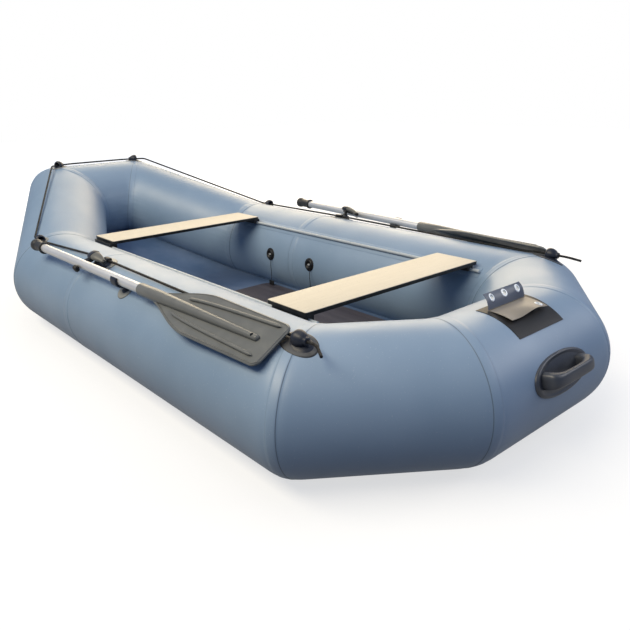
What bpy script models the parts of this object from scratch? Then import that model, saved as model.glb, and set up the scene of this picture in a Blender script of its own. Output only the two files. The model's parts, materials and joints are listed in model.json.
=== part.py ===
"""Inflatable rowing boat with two sliding benches, two stowed oars and a grab line.

Metres, +X to the bow, +Y to port, +Z up. The floor it stands on is z = 0 and the
origin is under the middle of its length and beam. Lengths along the boat are
measured forward from the aft end of the straight side tubes.
"""

import math

import bmesh
import bpy
from mathutils import Matrix, Vector

# Buoyancy tube ring
TUBE_R = 0.17
SIDE_OFFSET = 0.455
SIDE_LENGTH = 1.44
CHAMBER_SEAM = 0.958
STERN_RUN = 0.195
STERN_HALF = 0.19
BOW_RUN = 0.61
BOW_HALF = 0.172
BOW_RISE = 0.18
TUBE_SIDES = 32

# Clearances
TOUCH = 0.0003
SLIDE_GAP = 0.0006
UNDER_GAP = 0.0018
TURN_GAP = 0.0006
SEAT_OVERLAP = 0.004
SUNK = 0.012
BOOLEAN_LAP = 0.001

# Bottom and floor board
SEAM_ANGLE = math.radians(45)
BOTTOM_THICK = 0.002
BOARD_THICK = 0.008
BOARD_AFT = 0.06
BOARD_SHORT_OF_BOW = 0.32
BOARD_HALF_WIDTH = 0.295
BOARD_CORNER_R = 0.03

# Bench rails on the inner shoulders of the side tubes
RAIL_ANGLE = math.radians(-45)
RAIL_AFT = 0.08
RAIL_SHORT_OF_BOW = 0.055
RAIL_WIDTH = 0.036
RAIL_THICK = 0.0025
RAIL_SUNK = 0.003
BEAD_R = 0.005
BEAD_NECK = 0.005
BEAD_HEIGHT = 0.0085

# Benches
BENCH_TOP = 0.322
BENCH_THICK = 0.011
BENCH_WIDTH = 0.155
BENCH_CORNER_R = 0.006
BOW_BENCH_BEHIND_BOW = 0.145
BOW_BENCH_LENGTH = 0.66
STERN_BENCH_AT = 0.195
STERN_BENCH_LENGTH = 0.695
BRACKET_LENGTH = 0.135
BRACKET_WIDTH = 0.026
BRACKET_INBOARD = 0.003
BRACKET_WRAP = 0.003
GROOVE_EXTRA = 0.02

# Grab line and its guides
LINE_D = 0.007
LINE_ANGLE = math.radians(14)
LINE_BEND = 0.012
LINE_LIES_FROM = 0.3
LINE_LIES_TO = 0.06
GUIDE_PAD_LENGTH = 0.078
GUIDE_PAD_WIDTH = 0.056
PAD_THICK = 0.004
GUIDE_HOLE_R = 0.0075
GUIDE_RING_R = 0.007
FORE_GUIDE_BEHIND_BOW = 0.037
FORE_GUIDE_ANGLE = math.radians(24)
GUIDE_BEHIND_BLADE = 0.026
BOW_GUIDE_Y = 0.185
BOW_GUIDE_TURN = math.radians(58)
STERN_TAIL = Vector((-0.09, 0.02, 0.005))
BOW_TAIL = Vector((0.012, -0.02, 0.0))

# Rowlocks
ROWLOCK_BEHIND_SEAM = 0.068
ROWLOCK_ANGLE = math.radians(23)
ROWLOCK_PAD_LENGTH = 0.115
ROWLOCK_PAD_WIDTH = 0.086
BALL_R = 0.012
BALL_HEIGHT = 0.013
SOCKET_WALL = 0.005
SOCKET_TOP = 0.0165
SOCKET_MOUTH_R = 0.0145
STEM_R = 0.006
COVER_LENGTH = 0.03
COVER_WIDTH = 0.016
COVER_HEIGHT = 0.012
HEAD_BOTTOM = 0.03
HEAD_WALL = 0.006
HEAD_RING_HEIGHT = 0.012
CAP_LENGTH = 0.044
CAP_WIDTH = 0.028
CAP_HEIGHT = 0.009
CAP_BEVEL = 0.007
ARM_LENGTH = 0.024
ARM_START = 0.004
# The oar rocks on its ball about a line turned this far outboard from straight ahead
LIFT_TURN = math.radians(5)

# Oars
SHAFT_R = 0.014
SHAFT_OFFSET = 0.044
SHAFT_HEIGHT = 0.039
OAR_FORWARD = 0.365
GRIP_LENGTH = 0.082
GRIP_R = 0.0165
GRIP_FLARE_R = 0.0205
GRIP_END_R = 0.01
GRIP_COLLAR = 0.006
GRIP_TAPER = 0.02
BLADE_START = 0.363
BLADE_LENGTH = 0.543
BLADE_HALF_WIDTH = 0.0655
BLADE_END_HALF_WIDTH = 0.061
BLADE_THICK = 0.005
BLADE_DROP = 0.008
BLADE_REST = 0.0105
BLADE_END_ANGLE = math.radians(29.3)
BLADE_CORNER_R = 0.02
BLADE_ROOT = 0.03
BLADE_ROOT_HALF_WIDTH = 0.0125
BLADE_SHOULDER = 0.25
SOCKET_R = 0.0175
SOCKET_LENGTH = 0.09
SPINE_END_R = 0.0075
SPINE_SHORT = 0.05
BOLT_R = 0.004
BOLT_HEAD_GAP = 0.002
BOLT_SUNK = 0.0002
KNOB_R = 0.0115
KNOB_NECK_R = 0.009
KNOB_TIP_R = 0.008
KNOB_LENGTH = 0.013
KNOB_CHAMFER = 0.003

# Oar clips
CLIP_BEHIND = 0.24
CLIP_PAD_LENGTH = 0.05
CLIP_PAD_WIDTH = 0.075
CLIP_PAD_SHIFT = 0.012
CLIP_WIDTH = 0.022
CLIP_THICK = 0.005
CLIP_GAP = 0.0013
CLIP_FOOT = 0.0155
CLIP_ROOT = math.radians(-112)
CLIP_REACH = math.radians(62)

# Stern patch with lacing flaps
PATCH_WIDTH = 0.185
PATCH_FRONT = math.radians(-6)
PATCH_BACK = math.radians(42)
PATCH_THICK = 0.002
FLAP_WIDTH = 0.15
FLAP_HEIGHT = 0.036
FLAP_THICK = 0.0025
FLAP_ANGLE = math.radians(2)
FLAP_LEAN = math.radians(6)
FOLDED_FRONT = math.radians(8)
FOLDED_BACK = math.radians(29)

# Stern carrying handle
HANDLE_ANGLE = math.radians(76)
HANDLE_PAD_LENGTH = 0.225
HANDLE_PAD_WIDTH = 0.105
HANDLE_PAD_THICK = 0.005
HANDLE_LENGTH = 0.165
HANDLE_TOP_LENGTH = 0.12
HANDLE_DEPTH = 0.026
HANDLE_STAND = 0.044
HANDLE_BAR = 0.015
WINDOW_LENGTH = 0.102
WINDOW_TOP_LENGTH = 0.082

# Valves on the starboard inner wall
VALVE_AHEAD_OF_SEAM = 0.13
VALVE_BEHIND_SEAM = 0.117
VALVE_ANGLE = math.radians(-84)
VALVE_R = 0.019
VALVE_HEIGHT = 0.006
VALVE_BORE_R = 0.0125
VALVE_BORE_DEPTH = 0.004
VALVE_PATCH_R = 0.029
VALVE_PATCH_THICK = 0.0015
VALVE_SUNK = 0.006
LANYARD_D = 0.0024
LANYARD_AFT = 0.013
LANYARD_BELOW = 0.015
TAB_LENGTH = 0.03
TAB_HEIGHT = 0.02
TAB_THICK = 0.004

PORT = 1
STARBOARD = -1
SIDE_NAMES = {PORT: "port", STARBOARD: "starboard"}

# Places along the boat that follow from the sizes above
BOARD_FORE = SIDE_LENGTH - BOARD_SHORT_OF_BOW
RAIL_FORE = SIDE_LENGTH - RAIL_SHORT_OF_BOW
BOW_BENCH_AT = SIDE_LENGTH - BOW_BENCH_BEHIND_BOW
FORE_GUIDE_AT = SIDE_LENGTH - FORE_GUIDE_BEHIND_BOW
ROWLOCK_AT = CHAMBER_SEAM - ROWLOCK_BEHIND_SEAM
STERN_GUIDE_AT = ROWLOCK_AT - BLADE_START - BLADE_LENGTH - GUIDE_BEHIND_BLADE
VALVE_FORE_AT = CHAMBER_SEAM + VALVE_AHEAD_OF_SEAM
VALVE_AFT_AT = CHAMBER_SEAM - VALVE_BEHIND_SEAM
STERN_REACH = STERN_RUN + (TUBE_R + HANDLE_STAND) * math.sin(HANDLE_ANGLE) + (
    HANDLE_DEPTH / 2
) * math.cos(HANDLE_ANGLE)
BOW_REACH = SIDE_LENGTH + BOW_RUN + TUBE_R
MIDDLE = (BOW_REACH - STERN_REACH) / 2


def place(x, y, z):
    """World point from a length along the boat, an offset to port and a height."""
    return Vector((x - MIDDLE, y, z))


# Which of the corners below is the chamber seam
SEAM_CORNER = 2


def ring_points(side):
    """Centre-line corners of one side of the tube ring, from stern to bow."""
    return [
        place(-STERN_RUN, side * STERN_HALF, TUBE_R),
        place(0, side * SIDE_OFFSET, TUBE_R),
        place(CHAMBER_SEAM, side * SIDE_OFFSET, TUBE_R),
        place(SIDE_LENGTH, side * SIDE_OFFSET, TUBE_R),
        place(SIDE_LENGTH + BOW_RUN, side * BOW_HALF, TUBE_R + BOW_RISE),
    ]


def make_material(name, colour, roughness, metallic=0.0):
    material = bpy.data.materials.new(name)
    material.use_nodes = True
    shader = material.node_tree.nodes["Principled BSDF"]
    shader.inputs["Base Color"].default_value = (*colour, 1.0)
    shader.inputs["Roughness"].default_value = roughness
    shader.inputs["Metallic"].default_value = metallic
    return material


def add_object(name, bm, material, frame=None):
    """Turns a bmesh in local coordinates into an object placed by frame."""
    bmesh.ops.recalc_face_normals(bm, faces=bm.faces)
    mesh = bpy.data.meshes.new(name)
    bm.to_mesh(mesh)
    bm.free()
    mesh.shade_smooth()
    mesh.set_sharp_from_angle(angle=math.radians(35))
    if material:
        mesh.materials.append(material)
    obj = bpy.data.objects.new(name, mesh)
    bpy.context.scene.collection.objects.link(obj)
    if frame is not None:
        obj.matrix_world = frame
    return obj


def make_helper(obj):
    """Marks an object as a cutter or a half that another object takes in."""
    obj.hide_render = True
    obj.display_type = "WIRE"
    return obj


def combine(obj, other, operation):
    modifier = obj.modifiers.new(operation.title(), "BOOLEAN")
    modifier.operation = operation
    modifier.solver = "EXACT"
    modifier.object = make_helper(other)


def join(obj, bm, frame):
    """Adds a shape to obj, so that the two are one body."""
    combine(obj, add_object(f"{obj.name}_with", bm, None, frame), "UNION")


def cut(obj, bm, frame):
    combine(obj, add_object(f"{obj.name}_without", bm, None, frame), "DIFFERENCE")


def add_empty(name, frame, parent=None):
    empty = bpy.data.objects.new(name, None)
    empty.empty_display_size = 0.05
    bpy.context.scene.collection.objects.link(empty)
    empty.matrix_world = frame
    attach(empty, parent)
    return empty


def attach(obj, parent):
    """Parents obj and keeps it where it is in the world."""
    if parent is None:
        return
    bpy.context.view_layer.update()
    world = obj.matrix_world.copy()
    obj.parent = parent
    obj.matrix_parent_inverse = parent.matrix_world.inverted()
    obj.matrix_world = world


# Shapes


def prism(outline, low, high):
    """A bmesh extruded in Z from a closed outline of (x, y) points."""
    bm = bmesh.new()
    face = bm.faces.new([bm.verts.new((x, y, low)) for x, y in outline])
    made = bmesh.ops.extrude_face_region(bm, geom=[face])
    moved = [item for item in made["geom"] if isinstance(item, bmesh.types.BMVert)]
    bmesh.ops.translate(bm, verts=moved, vec=(0, 0, high - low))
    return bm


def box(size, centre):
    bm = bmesh.new()
    bmesh.ops.create_cube(bm, size=1.0)
    bmesh.ops.scale(bm, verts=bm.verts, vec=size)
    bmesh.ops.translate(bm, verts=bm.verts, vec=centre)
    return bm


def turned(profile, steps=24):
    """A solid turned about Z from (radius, height) points, the first and last on the axis."""
    bm = bmesh.new()
    verts = [bm.verts.new((radius, 0, height)) for radius, height in profile]
    edges = [bm.edges.new(pair) for pair in zip(verts, verts[1:])]
    bmesh.ops.spin(
        bm,
        geom=verts + edges,
        axis=(0, 0, 1),
        cent=(0, 0, 0),
        angle=math.tau,
        steps=steps,
        use_merge=True,
    )
    bmesh.ops.remove_doubles(bm, verts=bm.verts, dist=1e-6)
    return bm


def round_bar(radius, length):
    """Profile of a plain cylinder about its own middle."""
    half = length / 2
    return [(0, -half), (radius, -half), (radius, half), (0, half)]


def hoop(ring_radius, section_radius, steps=20, sides=8):
    """A torus about Z."""
    bm = bmesh.new()
    made = bmesh.ops.create_circle(bm, segments=sides, radius=section_radius)
    turn = Matrix.Translation((ring_radius, 0, 0)) @ Matrix.Rotation(math.pi / 2, 4, "X")
    bmesh.ops.transform(bm, matrix=turn, verts=made["verts"])
    bmesh.ops.spin(
        bm,
        geom=bm.verts[:] + bm.edges[:],
        axis=(0, 0, 1),
        cent=(0, 0, 0),
        angle=math.tau,
        steps=steps,
        use_merge=True,
    )
    bmesh.ops.remove_doubles(bm, verts=bm.verts, dist=1e-6)
    return bm


def oval(length, width, steps=24):
    turns = [math.tau * i / steps for i in range(steps)]
    return [(length / 2 * math.cos(a), width / 2 * math.sin(a)) for a in turns]


def rounded_box(length, width, radius, steps=4):
    """Outline of a rectangle with round corners."""
    points = []
    for quarter, (sx, sy) in enumerate(((1, 1), (-1, 1), (-1, -1), (1, -1))):
        for i in range(steps + 1):
            angle = math.pi / 2 * (quarter + i / steps)
            x = sx * (length / 2 - radius) + radius * math.cos(angle)
            y = sy * (width / 2 - radius) + radius * math.sin(angle)
            points.append((x, y))
    return points


# Tube ring


def tube_frame(start, end, side):
    """Direction, outboard and upward unit vectors of a tube."""
    along = (end - start).normalized()
    out = along.cross(Vector((0, 0, 1))).normalized()
    if out.y * side > 0 or (abs(out.y) < 1e-6 and out.x * along.y > 0):
        outboard = out
    else:
        outboard = -out
    up = along.cross(outboard)
    if up.z < 0:
        up = -up
    return along, outboard, up


def mitred_tube(start, end, before, after, radius, gap):
    """A round tube cut at both ends by the planes halfway to its neighbours."""
    along, outboard, up = tube_frame(start, end, 1)
    turn = Matrix((outboard, up, along)).transposed().to_4x4()
    bm = bmesh.new()
    for corner, towards, pull in ((start, before, gap / 2), (end, after, -gap / 2)):
        made = bmesh.ops.create_circle(bm, segments=TUBE_SIDES, radius=radius, cap_ends=True)
        bmesh.ops.transform(
            bm, matrix=Matrix.Translation(corner) @ turn, verts=made["verts"]
        )
        normal = (along + towards).normalized()
        for vert in made["verts"]:
            reach = (corner + normal * pull - vert.co).dot(normal)
            vert.co += along * reach / along.dot(normal)
    bmesh.ops.bridge_loops(bm, edges=bm.edges[:])
    return bm


def tube_runs(names, port, starboard):
    """Each tube's name, its ends and the directions of the tubes next to it."""
    closed = starboard[::-1] + port
    labels = [f"tube_{name}_starboard" for name in names[::-1]]
    labels += ["tube_stern_cross"] + [f"tube_{name}_port" for name in names]
    labels += ["tube_bow_cross"]
    count = len(closed)
    runs = []
    for i, label in enumerate(labels):
        a, b = closed[i], closed[(i + 1) % count]
        before = (a - closed[i - 1]).normalized()
        after = (closed[(i + 2) % count] - b).normalized()
        runs.append((label, a, b, before, after))
    return runs


def build_tubes(fabric):
    """The ten tube lengths and the slightly larger cutters that seat things on them."""
    port = ring_points(PORT)
    starboard = ring_points(STARBOARD)
    for label, a, b, before, after in tube_runs(
        ("stern", "side_aft", "side_fore", "bow"), port, starboard
    ):
        add_object(label, mitred_tube(a, b, before, after, TUBE_R, TOUCH), fabric)
    cutters = {}
    for corners in (port, starboard):
        corners.pop(SEAM_CORNER)
    for label, a, b, before, after in tube_runs(("stern", "side", "bow"), port, starboard):
        bm = mitred_tube(a, b, before, after, TUBE_R + TOUCH, -SEAT_OVERLAP)
        cutters[label] = make_helper(add_object("seat_" + label, bm, None))
    return cutters


def on_tube(side, run, distance, angle):
    """A frame on a tube's skin: X along it, Z out of the skin, from its aft corner."""
    corners = ring_points(side)
    start, end = corners[run], corners[run + 1]
    along, outboard, up = tube_frame(start, end, side)
    normal = outboard * math.sin(angle) + up * math.cos(angle)
    across = normal.cross(along)
    origin = start + along * distance + normal * TUBE_R
    frame = Matrix((along, across, normal)).transposed().to_4x4()
    return Matrix.Translation(origin) @ frame


def on_stern(offset, angle):
    """A frame on the stern cross tube: X to port, Z out of the skin, angle from the top."""
    centre = place(-STERN_RUN, offset, TUBE_R)
    normal = Vector((-math.sin(angle), 0, math.cos(angle)))
    along = Vector((0, 1, 0))
    across = normal.cross(along)
    frame = Matrix((along, across, normal)).transposed().to_4x4()
    return Matrix.Translation(centre + normal * TUBE_R) @ frame


def seat(obj, cutters, *labels):
    """Shapes the underside of a fitting to the tubes it is glued to."""
    for label in labels:
        combine(obj, cutters[label], "DIFFERENCE")


# Bottom and floor


def bottom_height():
    return TUBE_R - TUBE_R * math.sin(SEAM_ANGLE)


def build_bottom(fabric, cutters):
    """The fabric bottom, flat under the cockpit and rising to the bow."""
    corners = ring_points(PORT) + ring_points(STARBOARD)[::-1]
    flat = [i for i in range(10) if i not in (4, 5)]
    rising = (3, 4, 5, 6)
    drop = Vector((0, 0, -TUBE_R * math.sin(SEAM_ANGLE)))
    bm = bmesh.new()
    verts = [bm.verts.new(corner + drop) for corner in corners]
    faces = [bm.faces.new([verts[i] for i in group]) for group in (flat, rising)]
    made = bmesh.ops.extrude_face_region(bm, geom=faces)
    moved = [item for item in made["geom"] if isinstance(item, bmesh.types.BMVert)]
    bmesh.ops.translate(bm, verts=moved, vec=(0, 0, -BOTTOM_THICK))
    bottom = add_object("hull_bottom", bm, fabric)
    seat(bottom, cutters, *cutters)


def build_board(wood):
    length = BOARD_FORE - BOARD_AFT
    outline = rounded_box(length, 2 * BOARD_HALF_WIDTH, BOARD_CORNER_R)
    low = bottom_height() + TOUCH
    bm = prism(outline, low, low + BOARD_THICK)
    middle = place((BOARD_FORE + BOARD_AFT) / 2, 0, 0)
    add_object("floor_board", bm, wood, Matrix.Translation(middle))


# Rails and benches

# Turn a prism's X, Y and Z to Y, Z and X, and swap its Y and Z
ALONG_X = Matrix(((0, 0, 1, 0), (1, 0, 0, 0), (0, 1, 0, 0), (0, 0, 0, 1)))
SIDEWAYS = Matrix(((1, 0, 0, 0), (0, 0, 1, 0), (0, 1, 0, 0), (0, 0, 0, 1)))
# Turns Z to X
Z_TO_X = Matrix.Rotation(math.pi / 2, 4, "Y")


def rail_profile():
    """Glued strip with a bead on a short neck, as (across, out) points, sunk into the skin."""
    half = RAIL_WIDTH / 2
    neck = BEAD_NECK / 2
    points = [(-half, -RAIL_SUNK), (half, -RAIL_SUNK), (half, RAIL_THICK), (neck, RAIL_THICK)]
    first = -math.acos(neck / BEAD_R)
    last = math.pi - first
    steps = 10
    for i in range(steps + 1):
        angle = first + (last - first) * i / steps
        points.append((BEAD_R * math.cos(angle), BEAD_HEIGHT + BEAD_R * math.sin(angle)))
    return points + [(-neck, RAIL_THICK), (-half, RAIL_THICK)]


def build_rails(plastic, cutters):
    for side, word in SIDE_NAMES.items():
        bm = prism(rail_profile(), RAIL_AFT, RAIL_FORE)
        frame = on_tube(side, 1, 0, RAIL_ANGLE) @ ALONG_X
        rail = add_object(f"bench_rail_{word}", bm, plastic, frame)
        seat(rail, cutters, f"tube_side_{word}")


def build_bracket(name, side, x, plastic):
    """The grooved runner under one end of a bench, which grips the rail's bead."""
    bead = on_tube(side, 1, 0, RAIL_ANGLE) @ Vector((0, 0, BEAD_HEIGHT))
    high = BENCH_TOP - BENCH_THICK - TOUCH
    low = bead.z - BRACKET_WRAP
    middle = side * (abs(bead.y) - BRACKET_INBOARD)
    size = (BRACKET_LENGTH, BRACKET_WIDTH, high - low)
    bracket = add_object(name, box(size, (x, middle, (high + low) / 2)), plastic)
    cut_length = BRACKET_LENGTH + GROOVE_EXTRA
    groove = Matrix.Translation((x, bead.y, bead.z)) @ Z_TO_X
    cut(bracket, turned(round_bar(BEAD_R + SLIDE_GAP, cut_length), 16), groove)
    relief = Matrix.Translation((x, side * SIDE_OFFSET, TUBE_R)) @ Z_TO_X
    cut(bracket, turned(round_bar(TUBE_R + RAIL_THICK + UNDER_GAP, cut_length), 64), relief)
    return bracket


def build_bench(name, station, length, wood, plastic):
    """One bench board and the two runners that carry it along the rails."""
    middle = place(station, 0, BENCH_TOP)
    slide = add_empty(f"{name}_slide", Matrix.Translation(middle))
    outline = rounded_box(BENCH_WIDTH, length, BENCH_CORNER_R)
    bm = prism(outline, -BENCH_THICK, 0)
    attach(add_object(f"{name}_board", bm, wood, Matrix.Translation(middle)), slide)
    for side, word in SIDE_NAMES.items():
        attach(build_bracket(f"{name}_bracket_{word}", side, middle.x, plastic), slide)


# Grab line


def build_guide(name, frame, plastic, cutters, *labels):
    """An oval glued pad with a half-round arch that the line runs through."""
    outline = oval(GUIDE_PAD_LENGTH, GUIDE_PAD_WIDTH)
    guide = add_object(name, prism(outline, -SUNK, PAD_THICK), plastic, frame)
    lift = Matrix.Translation((0, 0, PAD_THICK + LINE_D / 2))
    join(guide, hoop(GUIDE_HOLE_R + GUIDE_RING_R, GUIDE_RING_R), frame @ lift @ Z_TO_X)
    seat(guide, cutters, *labels)


def guide_frames(side):
    """Frame and carrying tubes of the three line guides of one side, by where they are."""
    word = SIDE_NAMES[side]
    stern = on_tube(side, 1, STERN_GUIDE_AT, LINE_ANGLE)
    fore = on_tube(side, 1, FORE_GUIDE_AT, FORE_GUIDE_ANGLE)
    spot = place(SIDE_LENGTH + BOW_RUN, side * BOW_GUIDE_Y, 2 * TUBE_R + BOW_RISE)
    bow = Matrix.Translation(spot) @ Matrix.Rotation(-side * BOW_GUIDE_TURN, 4, "Z")
    return {
        "stern": (stern, (f"tube_stern_{word}", f"tube_side_{word}")),
        "fore": (fore, (f"tube_side_{word}", f"tube_bow_{word}")),
        "bow": (bow, (f"tube_bow_{word}", "tube_bow_cross")),
    }


def line_corners(side):
    """The points between which one side of the grab line runs straight, from its stern tail."""
    frames = {where: frame for where, (frame, _) in guide_frames(side).items()}
    height = PAD_THICK + LINE_D / 2 + TOUCH
    skin = LINE_D / 2 + TOUCH
    reach = GUIDE_PAD_LENGTH / 2 + LINE_BEND
    mirror = Matrix.Diagonal((1, side, 1))
    rowlock = rowlock_frame(side)
    rowlock_reach = ROWLOCK_PAD_LENGTH / 2 + LINE_BEND
    across, out = line_by_rowlock(side)
    return [
        frames["stern"] @ (mirror @ STERN_TAIL),
        frames["stern"] @ Vector((-reach, 0, height)),
        frames["stern"] @ Vector((reach, 0, height)),
        on_tube(side, 1, LINE_LIES_TO, LINE_ANGLE) @ Vector((0, 0, skin)),
        on_tube(side, 1, LINE_LIES_FROM, LINE_ANGLE) @ Vector((0, 0, skin)),
        rowlock @ Vector((-rowlock_reach, across, out)),
        rowlock @ Vector((rowlock_reach, across, out)),
        frames["fore"] @ Vector((-reach, 0, height)),
        frames["fore"] @ Vector((reach, 0, height)),
        frames["bow"] @ Vector((-reach, 0, height)),
        frames["bow"] @ Vector((0, 0, height)),
        frames["bow"] @ (mirror @ BOW_TAIL + Vector((reach, 0, height))),
    ]


def rounded_route(corners, bend):
    """The corners with each inner one replaced by three points of a smooth bend."""
    route = [corners[0]]
    for before, corner, after in zip(corners, corners[1:], corners[2:]):
        start = corner + (before - corner).normalized() * bend
        end = corner + (after - corner).normalized() * bend
        route += [start, (start + end) / 4 + corner / 2, end]
    return route + [corners[-1]]


def build_line(rope):
    """The grab line, from its port stern tail round the bow to the starboard one."""
    curve = bpy.data.curves.new("grab_line", "CURVE")
    curve.dimensions = "3D"
    curve.bevel_depth = LINE_D / 2
    curve.bevel_resolution = 2
    curve.use_fill_caps = True
    route = rounded_route(line_corners(PORT) + line_corners(STARBOARD)[::-1], LINE_BEND)
    spline = curve.splines.new("POLY")
    spline.points.add(len(route) - 1)
    for point, spot in zip(spline.points, route):
        point.co = (*spot, 1.0)
    curve.materials.append(rope)
    obj = bpy.data.objects.new("grab_line", curve)
    bpy.context.scene.collection.objects.link(obj)


# Rowlocks


def rowlock_frame(side):
    return on_tube(side, 1, ROWLOCK_AT, ROWLOCK_ANGLE)


def line_by_rowlock(side):
    """Where the grab line passes a rowlock, across and out in the rowlock's frame."""
    turn = ROWLOCK_ANGLE - LINE_ANGLE
    reach = TUBE_R + PAD_THICK + LINE_D / 2 + TOUCH
    return -side * reach * math.sin(turn), reach * math.cos(turn) - TUBE_R


def ball_profile(radius, neck, mouth, top):
    """A ball at its height over the skin, opening or narrowing from a neck to a mouth."""
    points = [(0, BALL_HEIGHT - radius)]
    last = math.acos(neck / radius)
    steps = 8
    for i in range(1, steps + 1):
        angle = -math.pi / 2 + (last + math.pi / 2) * i / steps
        points.append((radius * math.cos(angle), BALL_HEIGHT + radius * math.sin(angle)))
    return points + [(mouth, top), (0, top)]


def build_rowlock_base(side, rubber, cutters):
    """The glued base with the ball's socket and the cover that the grab line runs under."""
    word = SIDE_NAMES[side]
    frame = rowlock_frame(side)
    across, out = line_by_rowlock(side)
    outline = [(x, y + across / 3) for x, y in oval(ROWLOCK_PAD_LENGTH, ROWLOCK_PAD_WIDTH)]
    base = add_object(f"rowlock_base_{word}", prism(outline, -SUNK, PAD_THICK), rubber, frame)
    socket_r = BALL_R + TURN_GAP + SOCKET_WALL
    join(base, turned([(0, 0), (socket_r, 0), (socket_r, SOCKET_TOP), (0, SOCKET_TOP)]), frame)
    size = (COVER_LENGTH, COVER_WIDTH, COVER_HEIGHT)
    join(base, box(size, (0, across, COVER_HEIGHT / 2)), frame)
    hollow_r = BALL_R + TURN_GAP
    hollow = ball_profile(hollow_r, hollow_r * 0.8, SOCKET_MOUTH_R, SOCKET_TOP + GROOVE_EXTRA)
    cut(base, turned(hollow), frame)
    channel = round_bar(LINE_D / 2 + TURN_GAP, 2 * ROWLOCK_PAD_LENGTH)
    spot = Matrix.Translation((0, across, out))
    cut(base, turned(channel, 16), frame @ spot @ Z_TO_X)
    seat(base, cutters, f"tube_side_{word}")


def build_rowlock_head(side, plastic):
    """The capped ring that turns on the post, with the arm that the oar is bolted to."""
    frame = rowlock_frame(side)
    bore_r = STEM_R + TURN_GAP
    ring_r = bore_r + HEAD_WALL
    top = HEAD_BOTTOM + HEAD_RING_HEIGHT
    ring = turned([(0, HEAD_BOTTOM), (ring_r, HEAD_BOTTOM), (ring_r, top), (0, top)])
    head = add_object(f"rowlock_head_{SIDE_NAMES[side]}", ring, plastic, frame)
    arm_end = SHAFT_OFFSET - SHAFT_R - TOUCH
    size = (ARM_LENGTH, arm_end - ARM_START, HEAD_RING_HEIGHT)
    middle = (0, side * (arm_end + ARM_START) / 2, HEAD_BOTTOM + HEAD_RING_HEIGHT / 2)
    join(head, box(size, middle), frame)
    cap = prism(oval(CAP_LENGTH, CAP_WIDTH), top - BOOLEAN_LAP, top + CAP_HEIGHT)
    rim = [edge for edge in cap.edges if all(vert.co.z > top for vert in edge.verts)]
    bmesh.ops.bevel(
        cap,
        geom=rim,
        offset=CAP_BEVEL,
        segments=2,
        profile=0.5,
        affect="EDGES",
        material=-1,
    )
    join(head, cap, frame)
    ceiling = top - TOUCH
    cut(head, turned([(0, 0), (bore_r, 0), (bore_r, ceiling), (0, ceiling)]), frame)
    return head


def build_rowlock(side, plastic, rubber, cutters, lift, swing):
    build_rowlock_base(side, rubber, cutters)
    stem_top = HEAD_BOTTOM + HEAD_RING_HEIGHT - 2 * TURN_GAP
    ball = turned(ball_profile(BALL_R, STEM_R, STEM_R, stem_top))
    post = add_object(f"rowlock_post_{SIDE_NAMES[side]}", ball, plastic, rowlock_frame(side))
    attach(post, lift)
    attach(build_rowlock_head(side, plastic), swing)


# Oars


def oar_frame(side):
    """A frame on the oar's centre line beside the rowlock: X to the grip, Z out of the blade."""
    pivot = rowlock_frame(side) @ Vector((0, side * SHAFT_OFFSET, SHAFT_HEIGHT))
    axis_point = place(ROWLOCK_AT, side * SIDE_OFFSET, TUBE_R)
    radial = Vector((0, side * math.sin(BLADE_END_ANGLE), math.cos(BLADE_END_ANGLE)))
    far = BLADE_START + BLADE_LENGTH
    tip = axis_point + Vector((-far, 0, 0)) + radial * (TUBE_R + BLADE_REST + BLADE_DROP)
    along = (pivot - tip).normalized()
    across = radial.cross(along).normalized()
    turn = Matrix((along, across, along.cross(across))).transposed().to_4x4()
    return Matrix.Translation(pivot) @ turn


def blade_outline():
    """The blade's outline: a smooth shoulder, near parallel sides and rounded end corners."""
    half = []
    steps = 7
    for i in range(steps + 1):
        share = (1 - math.cos(math.pi * i / steps)) / 2
        out = BLADE_ROOT_HALF_WIDTH + (BLADE_HALF_WIDTH - BLADE_ROOT_HALF_WIDTH) * share
        half.append((-BLADE_START - BLADE_ROOT - BLADE_SHOULDER * i / steps, out))
    centre_x = -BLADE_START - BLADE_LENGTH + BLADE_CORNER_R
    centre_y = BLADE_END_HALF_WIDTH - BLADE_CORNER_R
    steps = 4
    for i in range(steps + 1):
        angle = math.pi / 2 * (1 + i / steps)
        x = centre_x + BLADE_CORNER_R * math.cos(angle)
        half.append((x, centre_y + BLADE_CORNER_R * math.sin(angle)))
    return half + [(x, -y) for x, y in half[::-1]]


def grip_profile():
    """The hand grip: a collar, a waist and a rounded end bulb."""
    start = OAR_FORWARD - GRIP_LENGTH
    bulb = OAR_FORWARD - GRIP_TAPER
    return [
        (0, start),
        (GRIP_FLARE_R, start),
        (GRIP_FLARE_R, start + GRIP_COLLAR),
        (GRIP_R, start + GRIP_COLLAR),
        (GRIP_R, bulb - GRIP_TAPER),
        (GRIP_FLARE_R, bulb),
        (GRIP_FLARE_R, OAR_FORWARD - GRIP_COLLAR),
        (GRIP_END_R, OAR_FORWARD),
        (0, OAR_FORWARD),
    ]


def spine_profile():
    """The socket that takes the shaft, tapering along the blade."""
    end = -(BLADE_START + BLADE_LENGTH - SPINE_SHORT)
    taper = -BLADE_START - SOCKET_LENGTH
    return [
        (0, end),
        (SPINE_END_R, end),
        (SOCKET_R, taper),
        (SOCKET_R, -BLADE_START),
        (0, -BLADE_START),
    ]


def bolt_profile():
    """The bolt through the shaft and its outer knob."""
    inner = SHAFT_R - BOLT_SUNK
    outer = SHAFT_R + BOLT_HEAD_GAP
    tip = outer + KNOB_LENGTH
    return [
        (0, -inner),
        (BOLT_R, -inner),
        (BOLT_R, outer),
        (KNOB_NECK_R, outer),
        (KNOB_R, outer + KNOB_CHAMFER),
        (KNOB_R, tip - KNOB_CHAMFER),
        (KNOB_TIP_R, tip),
        (0, tip),
    ]


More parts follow.
